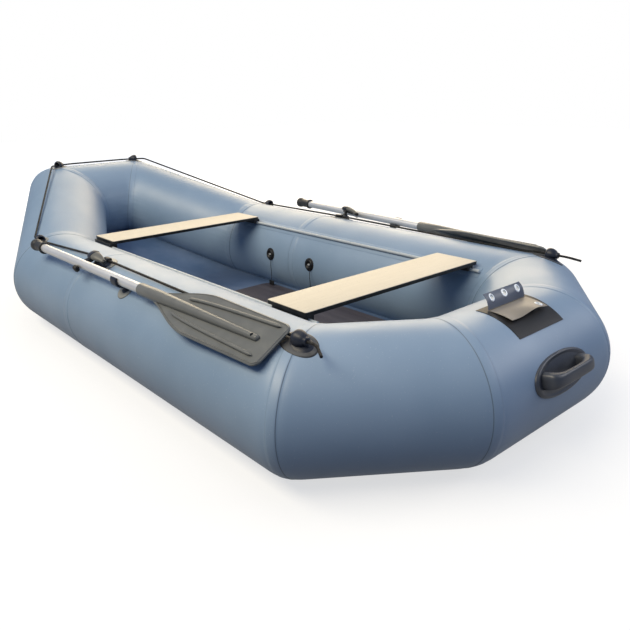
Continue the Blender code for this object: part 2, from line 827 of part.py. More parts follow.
def build_oar(side, metal, plastic, dark, swing):
    word = SIDE_NAMES[side]
    frame = oar_frame(side)
    along = frame @ Z_TO_X
    front = OAR_FORWARD - GRIP_LENGTH - TOUCH
    back = -BLADE_START + TOUCH
    bm = turned([(0, back), (SHAFT_R, back), (SHAFT_R, front), (0, front)])
    shaft = add_object(f"oar_shaft_{word}", bm, metal, along)
    hole = turned(round_bar(BOLT_R + TOUCH, 4 * SHAFT_R), 16)
    cut(shaft, hole, frame @ Matrix.Rotation(math.pi / 2, 4, "X"))
    attach(shaft, swing)
    grip = add_object(f"oar_grip_{word}", turned(grip_profile(), 16), dark, along)
    attach(grip, swing)
    bm = prism(blade_outline(), -BLADE_DROP, -BLADE_DROP + BLADE_THICK)
    blade = add_object(f"oar_blade_{word}", bm, plastic, frame)
    join(blade, turned(spine_profile(), 16), along)
    attach(blade, swing)
    outward = frame @ Matrix.Rotation(-side * math.pi / 2, 4, "X")
    attach(add_object(f"oar_bolt_{word}", turned(bolt_profile(), 16), dark, outward), swing)


def hook_outline(side, height):
    """The hook's open ring round the shaft, as (across, out) points of its pad's frame."""
    inner = SHAFT_R + CLIP_GAP
    outer = inner + CLIP_THICK
    steps = 8
    turns = [CLIP_ROOT + (CLIP_REACH - CLIP_ROOT) * i / steps for i in range(steps + 1)]
    arc = [(side * math.cos(turn), math.sin(turn)) for turn in turns]
    outline = [(outer * across, height + outer * out) for across, out in arc]
    return outline + [(inner * across, height + inner * out) for across, out in arc[::-1]]


def build_clip(side, rubber, cutters):
    """A glued pad and the rubber hook on it that holds the stowed oar's shaft."""
    word = SIDE_NAMES[side]
    centre = oar_frame(side) @ Vector((-CLIP_BEHIND, 0, 0))
    radial = centre - Vector((centre.x, side * SIDE_OFFSET, TUBE_R))
    height = radial.length - TUBE_R
    frame = on_tube(side, 1, centre.x + MIDDLE, math.atan2(abs(radial.y), radial.z))
    outline = oval(CLIP_PAD_LENGTH, CLIP_PAD_WIDTH)
    outline = [(x, y + side * CLIP_PAD_SHIFT) for x, y in outline]
    pad = add_object(f"oar_clip_pad_{word}", prism(outline, -SUNK, PAD_THICK), rubber, frame)
    seat(pad, cutters, f"tube_side_{word}")
    bm = prism(hook_outline(side, height), -CLIP_WIDTH / 2, CLIP_WIDTH / 2)
    hook = add_object(f"oar_clip_hook_{word}", bm, rubber, frame @ ALONG_X)
    low = PAD_THICK + TOUCH
    high = height - SHAFT_R - CLIP_GAP - CLIP_THICK / 2
    join(hook, box((CLIP_WIDTH, CLIP_FOOT, high - low), (0, 0, (high + low) / 2)), frame)


# Stern fittings


def curved_strip(low, high, spread, width):
    """A strip bent to the tube: a prism in the tube's frame, of a width along the tube."""
    steps = 8
    outline = []
    for radius, order in ((TUBE_R + high, 1), (TUBE_R + low, -1)):
        for i in range(steps + 1)[::order]:
            angle = (i / steps - 0.5) * spread
            outline.append((radius * math.sin(angle), radius * math.cos(angle) - TUBE_R))
    return prism(outline, -width / 2, width / 2)


def build_patch(fabric, cutters):
    """The patch on the stern tube, an upright lacing flap and a folded one."""
    frame = on_stern(0, (PATCH_FRONT + PATCH_BACK) / 2) @ ALONG_X
    bm = curved_strip(-SEAT_OVERLAP, PATCH_THICK, PATCH_BACK - PATCH_FRONT, PATCH_WIDTH)
    patch = add_object("stern_patch", bm, fabric, frame)
    seat(patch, cutters, "tube_stern_cross")
    rise = PATCH_THICK + 2 * TOUCH
    frame = on_stern(0, (FOLDED_FRONT + FOLDED_BACK) / 2) @ ALONG_X
    bm = curved_strip(rise, rise + FLAP_THICK, FOLDED_BACK - FOLDED_FRONT, FLAP_WIDTH)
    add_object("stern_flap_folded", bm, fabric, frame)
    frame = on_stern(0, FLAP_ANGLE) @ Matrix.Rotation(FLAP_LEAN, 4, "X")
    bm = box((FLAP_WIDTH, FLAP_THICK, FLAP_HEIGHT), (0, 0, rise + FLAP_HEIGHT / 2))
    add_object("stern_flap_upright", bm, fabric, frame)


def build_handle(rubber, cutters):
    """The carrying handle: an oval base and a bar that stands off it over a finger gap."""
    frame = on_stern(0, HANDLE_ANGLE)
    outline = oval(HANDLE_PAD_LENGTH, HANDLE_PAD_WIDTH)
    handle = add_object("stern_handle", prism(outline, -SUNK, HANDLE_PAD_THICK), rubber, frame)
    half, half_top = HANDLE_LENGTH / 2, HANDLE_TOP_LENGTH / 2
    outside = [(-half, 0), (-half_top, HANDLE_STAND), (half_top, HANDLE_STAND), (half, 0)]
    join(handle, prism(outside, -HANDLE_DEPTH / 2, HANDLE_DEPTH / 2), frame @ SIDEWAYS)
    half, half_top = WINDOW_LENGTH / 2, WINDOW_TOP_LENGTH / 2
    low, high = HANDLE_PAD_THICK + BOOLEAN_LAP, HANDLE_STAND - HANDLE_BAR
    window = [(-half, low), (-half_top, high), (half_top, high), (half, low)]
    cut(handle, prism(window, -HANDLE_DEPTH, HANDLE_DEPTH), frame @ SIDEWAYS)
    seat(handle, cutters, "tube_stern_cross")


# Valves


def build_valve(name, station, dark, cutters):
    """A round valve on its patch."""
    run, distance = (2, station - CHAMBER_SEAM) if station > CHAMBER_SEAM else (1, station)
    floor = VALVE_HEIGHT - VALVE_BORE_DEPTH
    profile = [
        (0, -VALVE_SUNK),
        (VALVE_PATCH_R, -VALVE_SUNK),
        (VALVE_PATCH_R, VALVE_PATCH_THICK),
        (VALVE_R, VALVE_PATCH_THICK),
        (VALVE_R, VALVE_HEIGHT),
        (VALVE_BORE_R, VALVE_HEIGHT),
        (VALVE_BORE_R, floor),
        (0, floor),
    ]
    frame = on_tube(STARBOARD, run, distance, VALVE_ANGLE)
    valve = add_object(f"valve_{name}", turned(profile), dark, frame)
    seat(valve, cutters, "tube_side_starboard")
    build_lanyard(name, frame.translation, dark)


def build_lanyard(name, valve, dark):
    """The cord that hangs from a valve and the tab at its end, which stands on the board."""
    x = valve.x - LANYARD_AFT
    y = -SIDE_OFFSET + TUBE_R + VALVE_HEIGHT + LANYARD_D
    floor = bottom_height() + BOARD_THICK + 2 * TOUCH
    low, high = floor + TAB_HEIGHT / 2, valve.z - LANYARD_BELOW
    tab = box((TAB_LENGTH, TAB_THICK, TAB_HEIGHT), (x, y, low))
    lanyard = add_object(f"lanyard_{name}", tab, dark)
    cord = turned(round_bar(LANYARD_D / 2, high - low), 8)
    join(lanyard, cord, Matrix.Translation((x, y, (high + low) / 2)))


def main():
    for obj in list(bpy.data.objects):
        bpy.data.objects.remove(obj, do_unlink=True)
    fabric = make_material("tube_fabric", (0.34, 0.41, 0.5), 0.38)
    bottom = make_material("bottom_fabric", (0.13, 0.2, 0.3), 0.5)
    floor = make_material("floor_board", (0.07, 0.06, 0.075), 0.6)
    pale = make_material("pale_plastic", (0.5, 0.53, 0.55), 0.4)
    bench = make_material("bench_wood", (0.66, 0.6, 0.47), 0.45)
    black = make_material("black_plastic", (0.02, 0.022, 0.026), 0.4)
    navy = make_material("navy_rubber", (0.03, 0.04, 0.07), 0.45)
    rope = make_material("black_rope", (0.018, 0.018, 0.02), 0.7)
    metal = make_material("shaft_aluminium", (0.75, 0.76, 0.77), 0.3, 0.9)
    grey = make_material("blade_plastic", (0.3, 0.32, 0.32), 0.42)

    cutters = build_tubes(fabric)
    build_bottom(bottom, cutters)
    build_board(floor)
    build_rails(pale, cutters)
    build_bench("bench_bow", BOW_BENCH_AT, BOW_BENCH_LENGTH, bench, black)
    build_bench("bench_stern", STERN_BENCH_AT, STERN_BENCH_LENGTH, bench, black)
    for side, word in SIDE_NAMES.items():
        for where, (frame, labels) in guide_frames(side).items():
            build_guide(f"line_guide_{where}_{word}", frame, navy, cutters, *labels)
    build_line(rope)
    for side, word in SIDE_NAMES.items():
        ball = rowlock_frame(side) @ Matrix.Translation((0, 0, BALL_HEIGHT))
        level = Matrix.Translation(ball.translation)
        lift_frame = level @ Matrix.Rotation(side * LIFT_TURN, 4, "Z")
        lift = add_empty(f"oar_lift_axis_{word}", lift_frame)
        swing = add_empty(f"oar_swing_axis_{word}", ball, lift)
        build_rowlock(side, black, navy, cutters, lift, swing)
        build_oar(side, metal, grey, black, swing)
        build_clip(side, navy, cutters)
    build_patch(fabric, cutters)
    build_handle(navy, cutters)
    build_valve("fore", VALVE_FORE_AT, black, cutters)
    build_valve("aft", VALVE_AFT_AT, black, cutters)


if __name__ == "__main__":
    main()
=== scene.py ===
"""Looks of an inflatable rowing boat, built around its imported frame.

Metres, +X to the bow, +Y to port, +Z up, with the floor at z = 0. Lengths along the boat are
measured forward from the aft end of the straight side tubes.
"""

import json
import math

import bmesh
import bpy
from mathutils import Matrix, Vector
from mathutils.bvhtree import BVHTree

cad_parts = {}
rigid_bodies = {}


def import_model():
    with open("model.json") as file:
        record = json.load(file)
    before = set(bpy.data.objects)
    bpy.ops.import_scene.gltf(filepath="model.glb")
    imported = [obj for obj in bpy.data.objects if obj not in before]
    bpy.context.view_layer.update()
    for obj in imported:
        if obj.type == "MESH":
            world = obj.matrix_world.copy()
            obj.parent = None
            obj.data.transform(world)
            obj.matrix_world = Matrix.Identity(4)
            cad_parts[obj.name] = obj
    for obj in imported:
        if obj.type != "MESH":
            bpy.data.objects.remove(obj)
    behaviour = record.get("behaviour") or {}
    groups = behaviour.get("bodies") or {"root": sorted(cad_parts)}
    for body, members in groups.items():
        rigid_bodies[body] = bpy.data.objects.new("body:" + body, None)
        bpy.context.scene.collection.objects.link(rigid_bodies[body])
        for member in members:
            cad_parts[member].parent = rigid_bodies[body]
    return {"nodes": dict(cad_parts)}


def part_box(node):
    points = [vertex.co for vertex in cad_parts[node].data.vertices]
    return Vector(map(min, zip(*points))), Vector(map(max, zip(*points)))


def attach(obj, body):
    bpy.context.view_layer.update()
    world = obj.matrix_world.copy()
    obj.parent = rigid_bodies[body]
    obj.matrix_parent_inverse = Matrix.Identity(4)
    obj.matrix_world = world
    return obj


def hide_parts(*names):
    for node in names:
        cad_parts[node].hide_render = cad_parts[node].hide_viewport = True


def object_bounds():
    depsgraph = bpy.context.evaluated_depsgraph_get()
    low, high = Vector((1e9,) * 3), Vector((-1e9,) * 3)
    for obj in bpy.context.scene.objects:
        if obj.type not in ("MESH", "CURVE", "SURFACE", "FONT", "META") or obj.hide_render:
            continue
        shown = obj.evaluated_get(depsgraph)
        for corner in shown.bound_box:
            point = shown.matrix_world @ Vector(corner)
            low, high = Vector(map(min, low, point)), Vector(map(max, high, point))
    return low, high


bl_info = {
    "name": "Inflatable rowing boat looks",
    "version": (1, 0, 0),
    "blender": (4, 5, 0),
    "location": "3D View > Sidebar > Boat",
    "description": "Builds the tubes, benches, oars and fittings of an inflatable rowing boat",
    "category": "Object",
}

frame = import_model()
CAD_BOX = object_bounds()

# The tube ring, as the frame has it
TUBE_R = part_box("tube_side_aft_port")[1].z / 2
SIDE_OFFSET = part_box("tube_side_aft_port")[1].y - TUBE_R
SIDE_LENGTH = 1.44
CHAMBER_SEAM = 0.958
STERN_RUN = 0.195
STERN_HALF = 0.19
BOW_RUN = 0.61
BOW_HALF = 0.172
BOW_RISE = 0.18
BOW_REACH = SIDE_LENGTH + BOW_RUN + TUBE_R
MIDDLE = BOW_REACH - CAD_BOX[1][0]

# Places of the fittings
RAIL_ANGLE = math.radians(-45)
LINE_D = 0.007
LINE_ANGLE = math.radians(14)
LINE_BEND = 0.012
GUIDE_PAD = (0.078, 0.056)
STERN_GUIDE_PAD = (0.096, 0.07)
STERN_GUIDE_PAD_SHIFT = (0.009, 0)
GUIDE_FOOT = (0.056, 0.046)
PAD_THICK = 0.004
FORE_GUIDE_AT = SIDE_LENGTH - 0.037
FORE_GUIDE_ANGLE = math.radians(24)
STERN_GUIDE_AT = -0.042
BOW_GUIDE_Y = 0.185
BOW_GUIDE_TURN = math.radians(58)
ROWLOCK_AT = 0.89
ROWLOCK_ANGLE = math.radians(23)
ROWLOCK_PAD = (0.115, 0.086)
ROWLOCK_SEAT = (0.078, 0.056)
STEM_R = 0.006
RING_R = 0.0126
RING_HOLE_R = 0.0066
BALL_R = 0.012
BALL_HEIGHT = 0.013
HEAD_BOTTOM = 0.03
HEAD_TOP = 0.042
CAP_ROWS = [
    (0.0225, 0.0425, 0.0035, 0.0022),
    (0.0218, 0.0425, 0.0075, 0.0042),
    (0.0195, 0.0427, 0.0110, 0.0058),
    (0.0130, 0.0432, 0.0140, 0.0072),
    (0.0080, 0.0434, 0.0150, 0.0078),
    (-0.0050, 0.0436, 0.0160, 0.0084),
    (-0.0120, 0.0432, 0.0160, 0.0086),
    (-0.0240, 0.0418, 0.0152, 0.0086),
    (-0.0360, 0.0390, 0.0132, 0.0080),
    (-0.0460, 0.0358, 0.0106, 0.0070),
    (-0.0540, 0.0328, 0.0080, 0.0058),
    (-0.0600, 0.0305, 0.0060, 0.0050),
    (-0.0660, 0.0282, 0.0054, 0.0047),
]
CAP_BAND = slice(4, 7)
SHAFT_R = 0.014
SHAFT_OFFSET = 0.044
SHAFT_HEIGHT = 0.039
OAR_FORWARD = 0.365
GRIP_LENGTH = 0.082
BLADE_START = 0.363
BLADE_LENGTH = 0.543
BLADE_NECK = 0.03
BLADE_CORNER = 0.02
BLADE_DROP = 0.008
BLADE_REST = 0.0105
BLADE_END_ANGLE = math.radians(29.3)
CLIP_BEHIND = 0.24
PATCH_FRONT = math.radians(-3.5)
PATCH_BACK = math.radians(39)
FLAP_HALF = 0.075
FLAP_THICK = 0.0012
EYELET_R = 0.0102
EYELET_HOLE_R = 0.0056
EYELET_OPENING_R = 0.007
EYELET_SEAT_R = 0.0092
HANDLE_ANGLE = math.radians(76)
VALVE_ANGLE = math.radians(-84)
VALVE_PLACES = {"fore": 1.088, "aft": 0.841}
VALVE_R = 0.0255
CAP_CORD_R = 0.0012
TOUCH = 0.0003
SUNK = 0.0004

# Points closer than TINY are one, and edges sharper than SHARP degrees stay sharp
TINY = 1e-6
SHARP = 38

PORT = 1
STARBOARD = -1
SIDE_NAMES = {PORT: "port", STARBOARD: "starboard"}
Z_TO_X = Matrix.Rotation(math.pi / 2, 4, "Y")
UP = Vector((0, 0, 1))

# The photograph's camera
CAMERA_AT = Vector((-1.8833, 1.2684, 0.8185))
CAMERA_YAW = -0.7153
CAMERA_PITCH = 0.3375
CAMERA_ROLL = -0.0215
CAMERA_FOCAL = 632.575
IMAGE_WIDTH = 630
SENSOR = 36.0


# Shader maths


class Value:
    """A shader socket that takes part in Python expressions."""

    def __init__(self, shader, socket):
        self.shader = shader
        self.socket = socket

    def math(self, operation, first, second=None):
        sockets = {0: first} if second is None else {0: first, 1: second}
        return self.shader.node("ShaderNodeMath", {"operation": operation}, sockets)

    def __add__(self, other):
        return self.math("ADD", self, other)

    def __sub__(self, other):
        return self.math("SUBTRACT", self, other)

    def __rsub__(self, other):
        return self.math("SUBTRACT", other, self)

    def __mul__(self, other):
        return self.math("MULTIPLY", self, other)

    __radd__ = __add__
    __rmul__ = __mul__

    def away_from(self, place):
        """The distance from a place, never negative."""
        return self.math("ABSOLUTE", self - place)

    def wave(self):
        return self.math("SINE", self)

    def most(self, other):
        return self.math("MAXIMUM", self, other)

    def rise(self, low, high):
        """From 0 at low to 1 at high, smoothly."""
        limits = {"Value": self, "From Min": low, "From Max": high}
        return self.shader.node(
            "ShaderNodeMapRange", {"interpolation_type": "SMOOTHSTEP"}, limits
        )


class Nodes:
    """The node tree of a material or of the world."""

    def __init__(self, tree):
        self.tree = tree

    def feed(self, socket, value):
        if isinstance(value, Value):
            self.tree.links.new(value.socket, socket)
        else:
            socket.default_value = value

    def node(self, kind, settings=None, sockets=None, output=0):
        """A node of a kind with its settings, then its sockets' values or links."""
        node = self.tree.nodes.new(kind)
        for name, value in (settings or {}).items():
            setattr(node, name, value)
        for key, value in (sockets or {}).items():
            self.feed(node.inputs[key], value)
        return Value(self, node.outputs[output])

    def mix(self, share, first, second):
        """A colour between two."""
        sockets = {0: share, 6: first, 7: second}
        return self.node("ShaderNodeMix", {"data_type": "RGBA"}, sockets, 2)


class Shader(Nodes):
    """A material and the nodes that lead to its Principled shader."""

    def __init__(self, name, **constants):
        self.material = bpy.data.materials.new(name)
        self.material.use_nodes = True
        super().__init__(self.material.node_tree)
        self.surface = self.tree.nodes["Principled BSDF"]
        for words, value in constants.items():
            words = words.replace("_", " ").title().replace("Ior", "IOR")
            self.surface.inputs[words].default_value = value

    def place(self, scale=(1, 1, 1)):
        """Object coordinates, scaled."""
        place = self.node("ShaderNodeTexCoord", output="Object")
        return self.node("ShaderNodeMapping", None, {"Vector": place, "Scale": scale})

    def along_surface(self, scale):
        """The piece's own UV map, in metres round and along it, scaled."""
        place = self.node("ShaderNodeTexCoord", output="UV")
        return self.node("ShaderNodeMapping", None, {"Vector": place, "Scale": scale})

    def parts(self, vector):
        node = self.node("ShaderNodeSeparateXYZ", None, {0: vector})
        return [Value(self, socket) for socket in node.socket.node.outputs]

    def attribute(self, name):
        return self.node("ShaderNodeAttribute", {"attribute_name": name}, output="Fac")

    def grain(self, vector, scale, detail=2.0, roughness=0.5):
        sockets = {"Vector": vector, "Scale": scale, "Detail": detail, "Roughness": roughness}
        return self.node("ShaderNodeTexNoise", None, sockets)

    def bump(self, height, distance, strength):
        sockets = {"Height": height, "Distance": distance, "Strength": strength}
        return self.node("ShaderNodeBump", None, sockets)

    def finish(self, colour, roughness, normal):
        self.feed(self.surface.inputs["Base Color"], colour)
        self.feed(self.surface.inputs["Roughness"], roughness)
        self.feed(self.surface.inputs["Normal"], normal)
        return self.material


def tint(colour, share, towards=0.0):
    """A colour with alpha, moved by a share towards a grey level."""
    return (*[part + (towards - part) * share for part in colour], 1.0)


def grey(level):
    return (level, level, level, 1.0)


def material(name, make, *sizes):
    """The material of that name, made when it is first asked for."""
    return bpy.data.materials.get(name) or make(name, *sizes)


def tube_fabric(name, settings):
    """Satin coated fabric with welded seam bands, puckers inside its bends and a few specks."""
    shader = Shader(name, coat_weight=0.4, coat_roughness=0.5)
    place = shader.place()
    cloud = shader.grain(place, 3.2, 3.0)
    colour = shader.mix(
        cloud.rise(0.3, 0.72),
        tint(settings.tube_colour, 0.08),
        tint(settings.tube_colour, 0.03, 1.0),
    )
    from_seam = shader.attribute("from_seam")
    distance = from_seam.away_from(0.0)
    strip = 1 - distance.rise(settings.seam_width / 2 - 0.001, settings.seam_width / 2)
    colour = shader.mix(strip * 0.2, colour, tint(settings.tube_colour, 0.05, 1.0))
    edge = 1 - distance.away_from(settings.seam_width / 2).rise(0.0003, 0.0016)
    strong = from_seam.rise(0.0, 0.002) * 0.5 + 0.2
    colour = shader.mix(edge * strong, colour, tint(settings.tube_colour, 0.8))
    specks = shader.grain(place, 430.0, 0.0).rise(0.8, 0.83)
    colour = shader.mix(specks * 0.3, colour, tint(settings.tube_colour, 0.5, 1.0))
    roughness = shader.grain(place, 9.0, 2.0).rise(0.25, 0.75) * 0.08 + 0.42
    puckers = shader.grain(shader.along_surface((60, 4, 1)), 1.0, 1.0)
    near = shader.attribute("pucker")
    weave = shader.grain(place, 900.0, 1.0)
    height = puckers * near * 2.5 + weave * 0.04 + cloud * 0.3
    return shader.finish(colour, roughness, shader.bump(height, 0.0016, 0.6))


def plain_fabric(name, colour, roughness=0.45, contrast=0.14):
    """Coated fabric with a fine weave and soft cloudy wear."""
    shader = Shader(name, specular_ior_level=0.4)
    place = shader.place()
    cloud = shader.grain(place, 6.0, 4.0)
    shade = shader.mix(
        cloud.rise(0.3, 0.7), tint(colour, contrast), tint(colour, contrast / 3, 1.0)
    )
    rim = shader.attribute("rim").rise(0.9, 0.97)
    shade = shader.mix(rim * 0.6, shade, tint(colour, 0.75))
    weave = shader.grain(place, 700.0, 1.0)
    roughness = cloud * 0.12 + (roughness - 0.06)
    return shader.finish(shade, roughness, shader.bump(weave * 0.3 + cloud, 0.0006, 0.5))


def floor_ply(name, colour):
    """Dark film-faced plywood with a fine anti-slip mesh and long streaks."""
    shader = Shader(name)
    streaks = shader.grain(shader.place((2.5, 40, 40)), 1.0, 4.0, 0.6)
    shade = shader.mix(streaks.rise(0.3, 0.7), tint(colour, 0.16), tint(colour, 0.025, 1.0))
    x, y, _ = shader.parts(shader.place((math.tau / 0.006, math.tau / 0.006, 1)))
    mesh = (x + y).wave() * (x - y).wave()
    roughness = streaks * 0.15 + 0.42
    return shader.finish(shade, roughness, shader.bump(mesh * 0.5 + streaks, 0.0004, 0.6))


def bench_laminate(name, colour):
    """Cream laminate with a faint lengthwise grain, scuffs and small specks."""
    shader = Shader(name, specular_ior_level=0.22)
    grain = shader.grain(shader.place((22, 2.2, 22)), 4.0, 5.0, 0.6)
    shade = shader.mix(grain.rise(0.3, 0.72), tint(colour, 0.045), tint(colour, 0.03, 1.0))
    scuffs = shader.grain(shader.place((14, 60, 14)), 1.0, 4.0, 0.7).rise(0.6, 0.75)
    shade = shader.mix(scuffs * 0.12, shade, tint(colour, 0.45))
    specks = shader.grain(shader.place(), 240.0, 0.0).rise(0.76, 0.8)
    shade = shader.mix(specks * 0.3, shade, tint(colour, 0.7))
    roughness = grain * 0.12 + scuffs * 0.1 + 0.48
    return shader.finish(shade, roughness, shader.bump(grain, 0.0003, 0.35))


def moulded_plastic(name, colour, roughness=0.4, pebble=420.0, wear=0.06, gloss=0.35):
    """Moulded plastic or rubber with a fine pebbled skin and dull worn clouds."""
    shader = Shader(name, specular_ior_level=gloss)
    place = shader.place()
    cloud = shader.grain(place, 28.0, 3.0)
    shade = shader.mix(cloud.rise(0.35, 0.8), tint(colour, 0.1), tint(colour, wear, 0.3))
    pebbles = shader.grain(place, pebble, 1.0)
    return shader.finish(
        shade, cloud * 0.2 + (roughness - 0.1), shader.bump(pebbles, 0.0003, 0.5)
    )


def braided_rope(name, colour):
    """Braid of two sets of strands that cross round the cord, with painted shade in the gaps and a
    painted highlight on the crowns.
    """
    shader = Shader(name, specular_ior_level=0.2)
    u, v, _ = shader.parts(shader.along_surface((math.tau / 0.0037, math.tau / 0.006, 1)))
    braid = (u + v).wave().most((u - v).wave())
    # Painted shade: the gaps between strands are darker, and a painted highlight makes their crowns
    # a little lighter.
    shade = shader.mix(braid.rise(0.1, 1.0), tint(colour, 0.6), tint(colour, 0.03, 0.8))
    return shader.finish(shade, 0.62, shader.bump(braid, 0.0006, 0.8))


def brushed_metal(name, colour, roughness=0.4, metallic=0.6):
    """Satin metal with faint handling marks and cloudy dullness."""
    shader = Shader(name, metallic=metallic)
    cloud = shader.grain(shader.place(), 12.0, 3.0)
    marks = shader.grain(shader.place((9, 60, 60)), 4.0, 3.0).rise(0.55, 0.8)
    shade = shader.mix(cloud.rise(0.3, 0.7), tint(colour, 0.05), tint(colour, 0.1, 1.0))
    shade = shader.mix(marks * 0.12, shade, tint(colour, 0.4))
    finish = cloud * 0.1 + marks * 0.12 + (roughness - 0.05)
    return shader.finish(shade, finish, shader.bump(marks, 0.0001, 0.2))


# Shapes


def grid(columns, rows, shape, size=None):
    """A sheet of faces, each corner put where shape(column, row) says.

    Its UV map is in metres: size gives the length across and along, or uv(column, row) does.
    """
    bm = bmesh.new()
    uv = bm.loops.layers.uv.new("UVMap")
    bmesh.ops.create_grid(bm, x_segments=columns, y_segments=rows, size=0.5, calc_uvs=True)
    if size:
        for face in bm.faces:
            for loop in face.loops:
                across, along = loop[uv].uv
                if callable(size):
                    loop[uv].uv = size(round(across * columns), round(along * rows))
                else:
                    loop[uv].uv = (across * size[0], along * size[1])
    for vert in bm.verts:
        column = round((vert.co.x + 0.5) * columns)
        row = round((vert.co.y + 0.5) * rows)
        vert.co = shape(column, row)
    return bm


def turned(profile, place, steps=48):
    """A shape turned about the place's Z from (radius, height) points."""
    bm = bmesh.new()
    verts = [bm.verts.new((radius, 0, height)) for radius, height in profile]
    for pair in zip(verts, verts[1:]):
        bm.edges.new(pair)
    bmesh.ops.spin(
        bm,
        geom=bm.verts[:] + bm.edges[:],
        axis=(0, 0, 1),
        cent=(0, 0, 0),
        angle=math.tau,
        steps=steps,
        use_merge=True,
    )
    bmesh.ops.remove_doubles(bm, verts=bm.verts, dist=TINY)
    bmesh.ops.transform(bm, matrix=place, verts=bm.verts)
    return bm


def softened(points, radius, steps=4, closed=False):
    """A line of points with each corner rounded, its two ends kept unless it is closed."""
    points = [Vector(point) for point in points]
    if closed:
        corners = zip(points[-1:] + points[:-1], points, points[1:] + points[:1])
        line = []
    else:
        corners = zip(points, points[1:], points[2:])
        line = [points[0]]
    for before, corner, after in corners:
        back, on = before - corner, after - corner
        room = min(radius, back.length * 0.49, on.length * 0.49)
        start, end = corner + back.normalized() * room, corner + on.normalized() * room
        for i in range(steps + 1):
            t = i / steps
            line.append(start * (1 - t) ** 2 + corner * 2 * t * (1 - t) + end * t**2)
    return line if closed else line + [points[-1]]


def oval(length, width, steps=64, power=2.0):
    """A closed outline, an ellipse at power 2 and boxier above that."""
    points = []
    for i in range(steps):
        turn = math.tau * i / steps
        x, y = math.cos(turn), math.sin(turn)
        x = math.copysign(abs(x) ** (2 / power), x) * length / 2
        y = math.copysign(abs(y) ** (2 / power), y) * width / 2
        points.append((x, y))
    return points


def close_ends(bm):
    bmesh.ops.remove_doubles(bm, verts=bm.verts, dist=TINY)
    bmesh.ops.holes_fill(bm, edges=[edge for edge in bm.edges if edge.is_boundary])


def sweep(route, section, up=UP, size=None):
    """A bar along a route: section(share) gives the closed outline there, as (across, up)."""
    count = len(route)
    frames = []
    for i, point in enumerate(route):
        ahead = route[min(i + 1, count - 1)] - route[max(i - 1, 0)]
        along = ahead.normalized()
        across = up.cross(along).normalized()
        frames.append((point, across, along.cross(across)))
    outlines = [section(i / (count - 1)) for i in range(count)]
    columns = len(outlines[0])

    def shape(column, row):
        point, across, high = frames[row]
        a, b = outlines[row][column % columns]
        return point + across * a + high * b

    bm = grid(columns, count - 1, shape, size)
    close_ends(bm)
    return bm


def cord_length(route):
    return sum((b - a).length for a, b in zip(route, route[1:]))


def round_section(radius, sides):
    outline = oval(2 * radius, 2 * radius, sides)
    return lambda share: outline


def round_bar(route, radius, sides, up):
    """A round bar with domed ends."""

    def section(share):
        end = min(share, 1 - share) * cord_length(route)
        size = radius
        if end < radius:
            size = radius * math.sqrt(max(1e-4, 1 - (1 - end / radius) ** 2))
        return oval(2 * size, 2 * size, sides)

    return sweep(route, section, up)


def block(size, place, bevel):
    """A box with softened edges."""
    bm = bmesh.new()
    bmesh.ops.create_cube(bm, size=1.0)
    bmesh.ops.scale(bm, verts=bm.verts, vec=size)
    soften(bm, bm.edges[:], bevel, 3)
    bmesh.ops.transform(bm, matrix=place, verts=bm.verts)
    return bm


def rise(edge):
    return abs(edge.verts[0].co.z - edge.verts[1].co.z)


def slab(size, corner, segments):
    """A flat board about the origin, its upright corners rounded."""
    bm = block(size, Matrix.Identity(4), 0.0)
    soften(bm, [edge for edge in bm.edges if rise(edge) > size[2] / 2], corner, segments)
    return bm


def soften(bm, edges, offset, segments):
    bmesh.ops.bevel(
        bm,
        geom=edges,
        offset=offset,
        segments=segments,
        profile=0.5,
        affect="EDGES",
        material=-1,
    )


def merged(*parts):
    """One bmesh that holds several."""
    whole = bmesh.new()
    for part in parts:
        mesh = bpy.data.meshes.new("part")
        part.to_mesh(mesh)
        part.free()
        whole.from_mesh(mesh)
        bpy.data.meshes.remove(mesh)
    return whole


def finished(name, bm, finish, body="hull", replaced=(), sharp=SHARP):
    """Makes a bmesh in the boat's coordinates a piece that rides on a body."""
    bmesh.ops.remove_doubles(bm, verts=bm.verts, dist=TINY)
    bmesh.ops.recalc_face_normals(bm, faces=bm.faces)
    mesh = bpy.data.meshes.new(name)
    bm.to_mesh(mesh)
    bm.free()
    mesh.shade_smooth()
    mesh.set_sharp_from_angle(angle=math.radians(sharp))
    mesh.materials.append(finish)
    obj = bpy.data.objects.new(name, mesh)
    bpy.context.scene.collection.objects.link(obj)
    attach(obj, body)
    if replaced:
        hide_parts(*replaced)
    return obj


def cut(obj, bm):
    """Takes a shape out of a piece."""
    mesh = bpy.data.meshes.new("cutter")
    bmesh.ops.recalc_face_normals(bm, faces=bm.faces)
    bm.to_mesh(mesh)
    bm.free()
    cutter = bpy.data.objects.new("cutter", mesh)
    bpy.context.scene.collection.objects.link(cutter)
    modifier = obj.modifiers.new("Cut", "BOOLEAN")
    modifier.operation = "DIFFERENCE"
    modifier.solver = "EXACT"
    modifier.object = cutter
    bpy.context.view_layer.update()
    graph = bpy.context.evaluated_depsgraph_get()
    cut_mesh = bpy.data.meshes.new_from_object(obj.evaluated_get(graph))
    obj.modifiers.clear()
    obj.data = cut_mesh
    bpy.data.objects.remove(cutter)
    cut_mesh.shade_smooth()
    cut_mesh.set_sharp_from_angle(angle=math.radians(SHARP))


# Places on the boat


def place(x, y, z):
    """World point from a length along the boat, an offset to port and a height."""
    return Vector((x - MIDDLE, y, z))


def frame_at(spot, *axes):
    """A frame at a spot from its X, Y and Z directions."""
    return Matrix.Translation(spot) @ Matrix(axes).transposed().to_4x4()


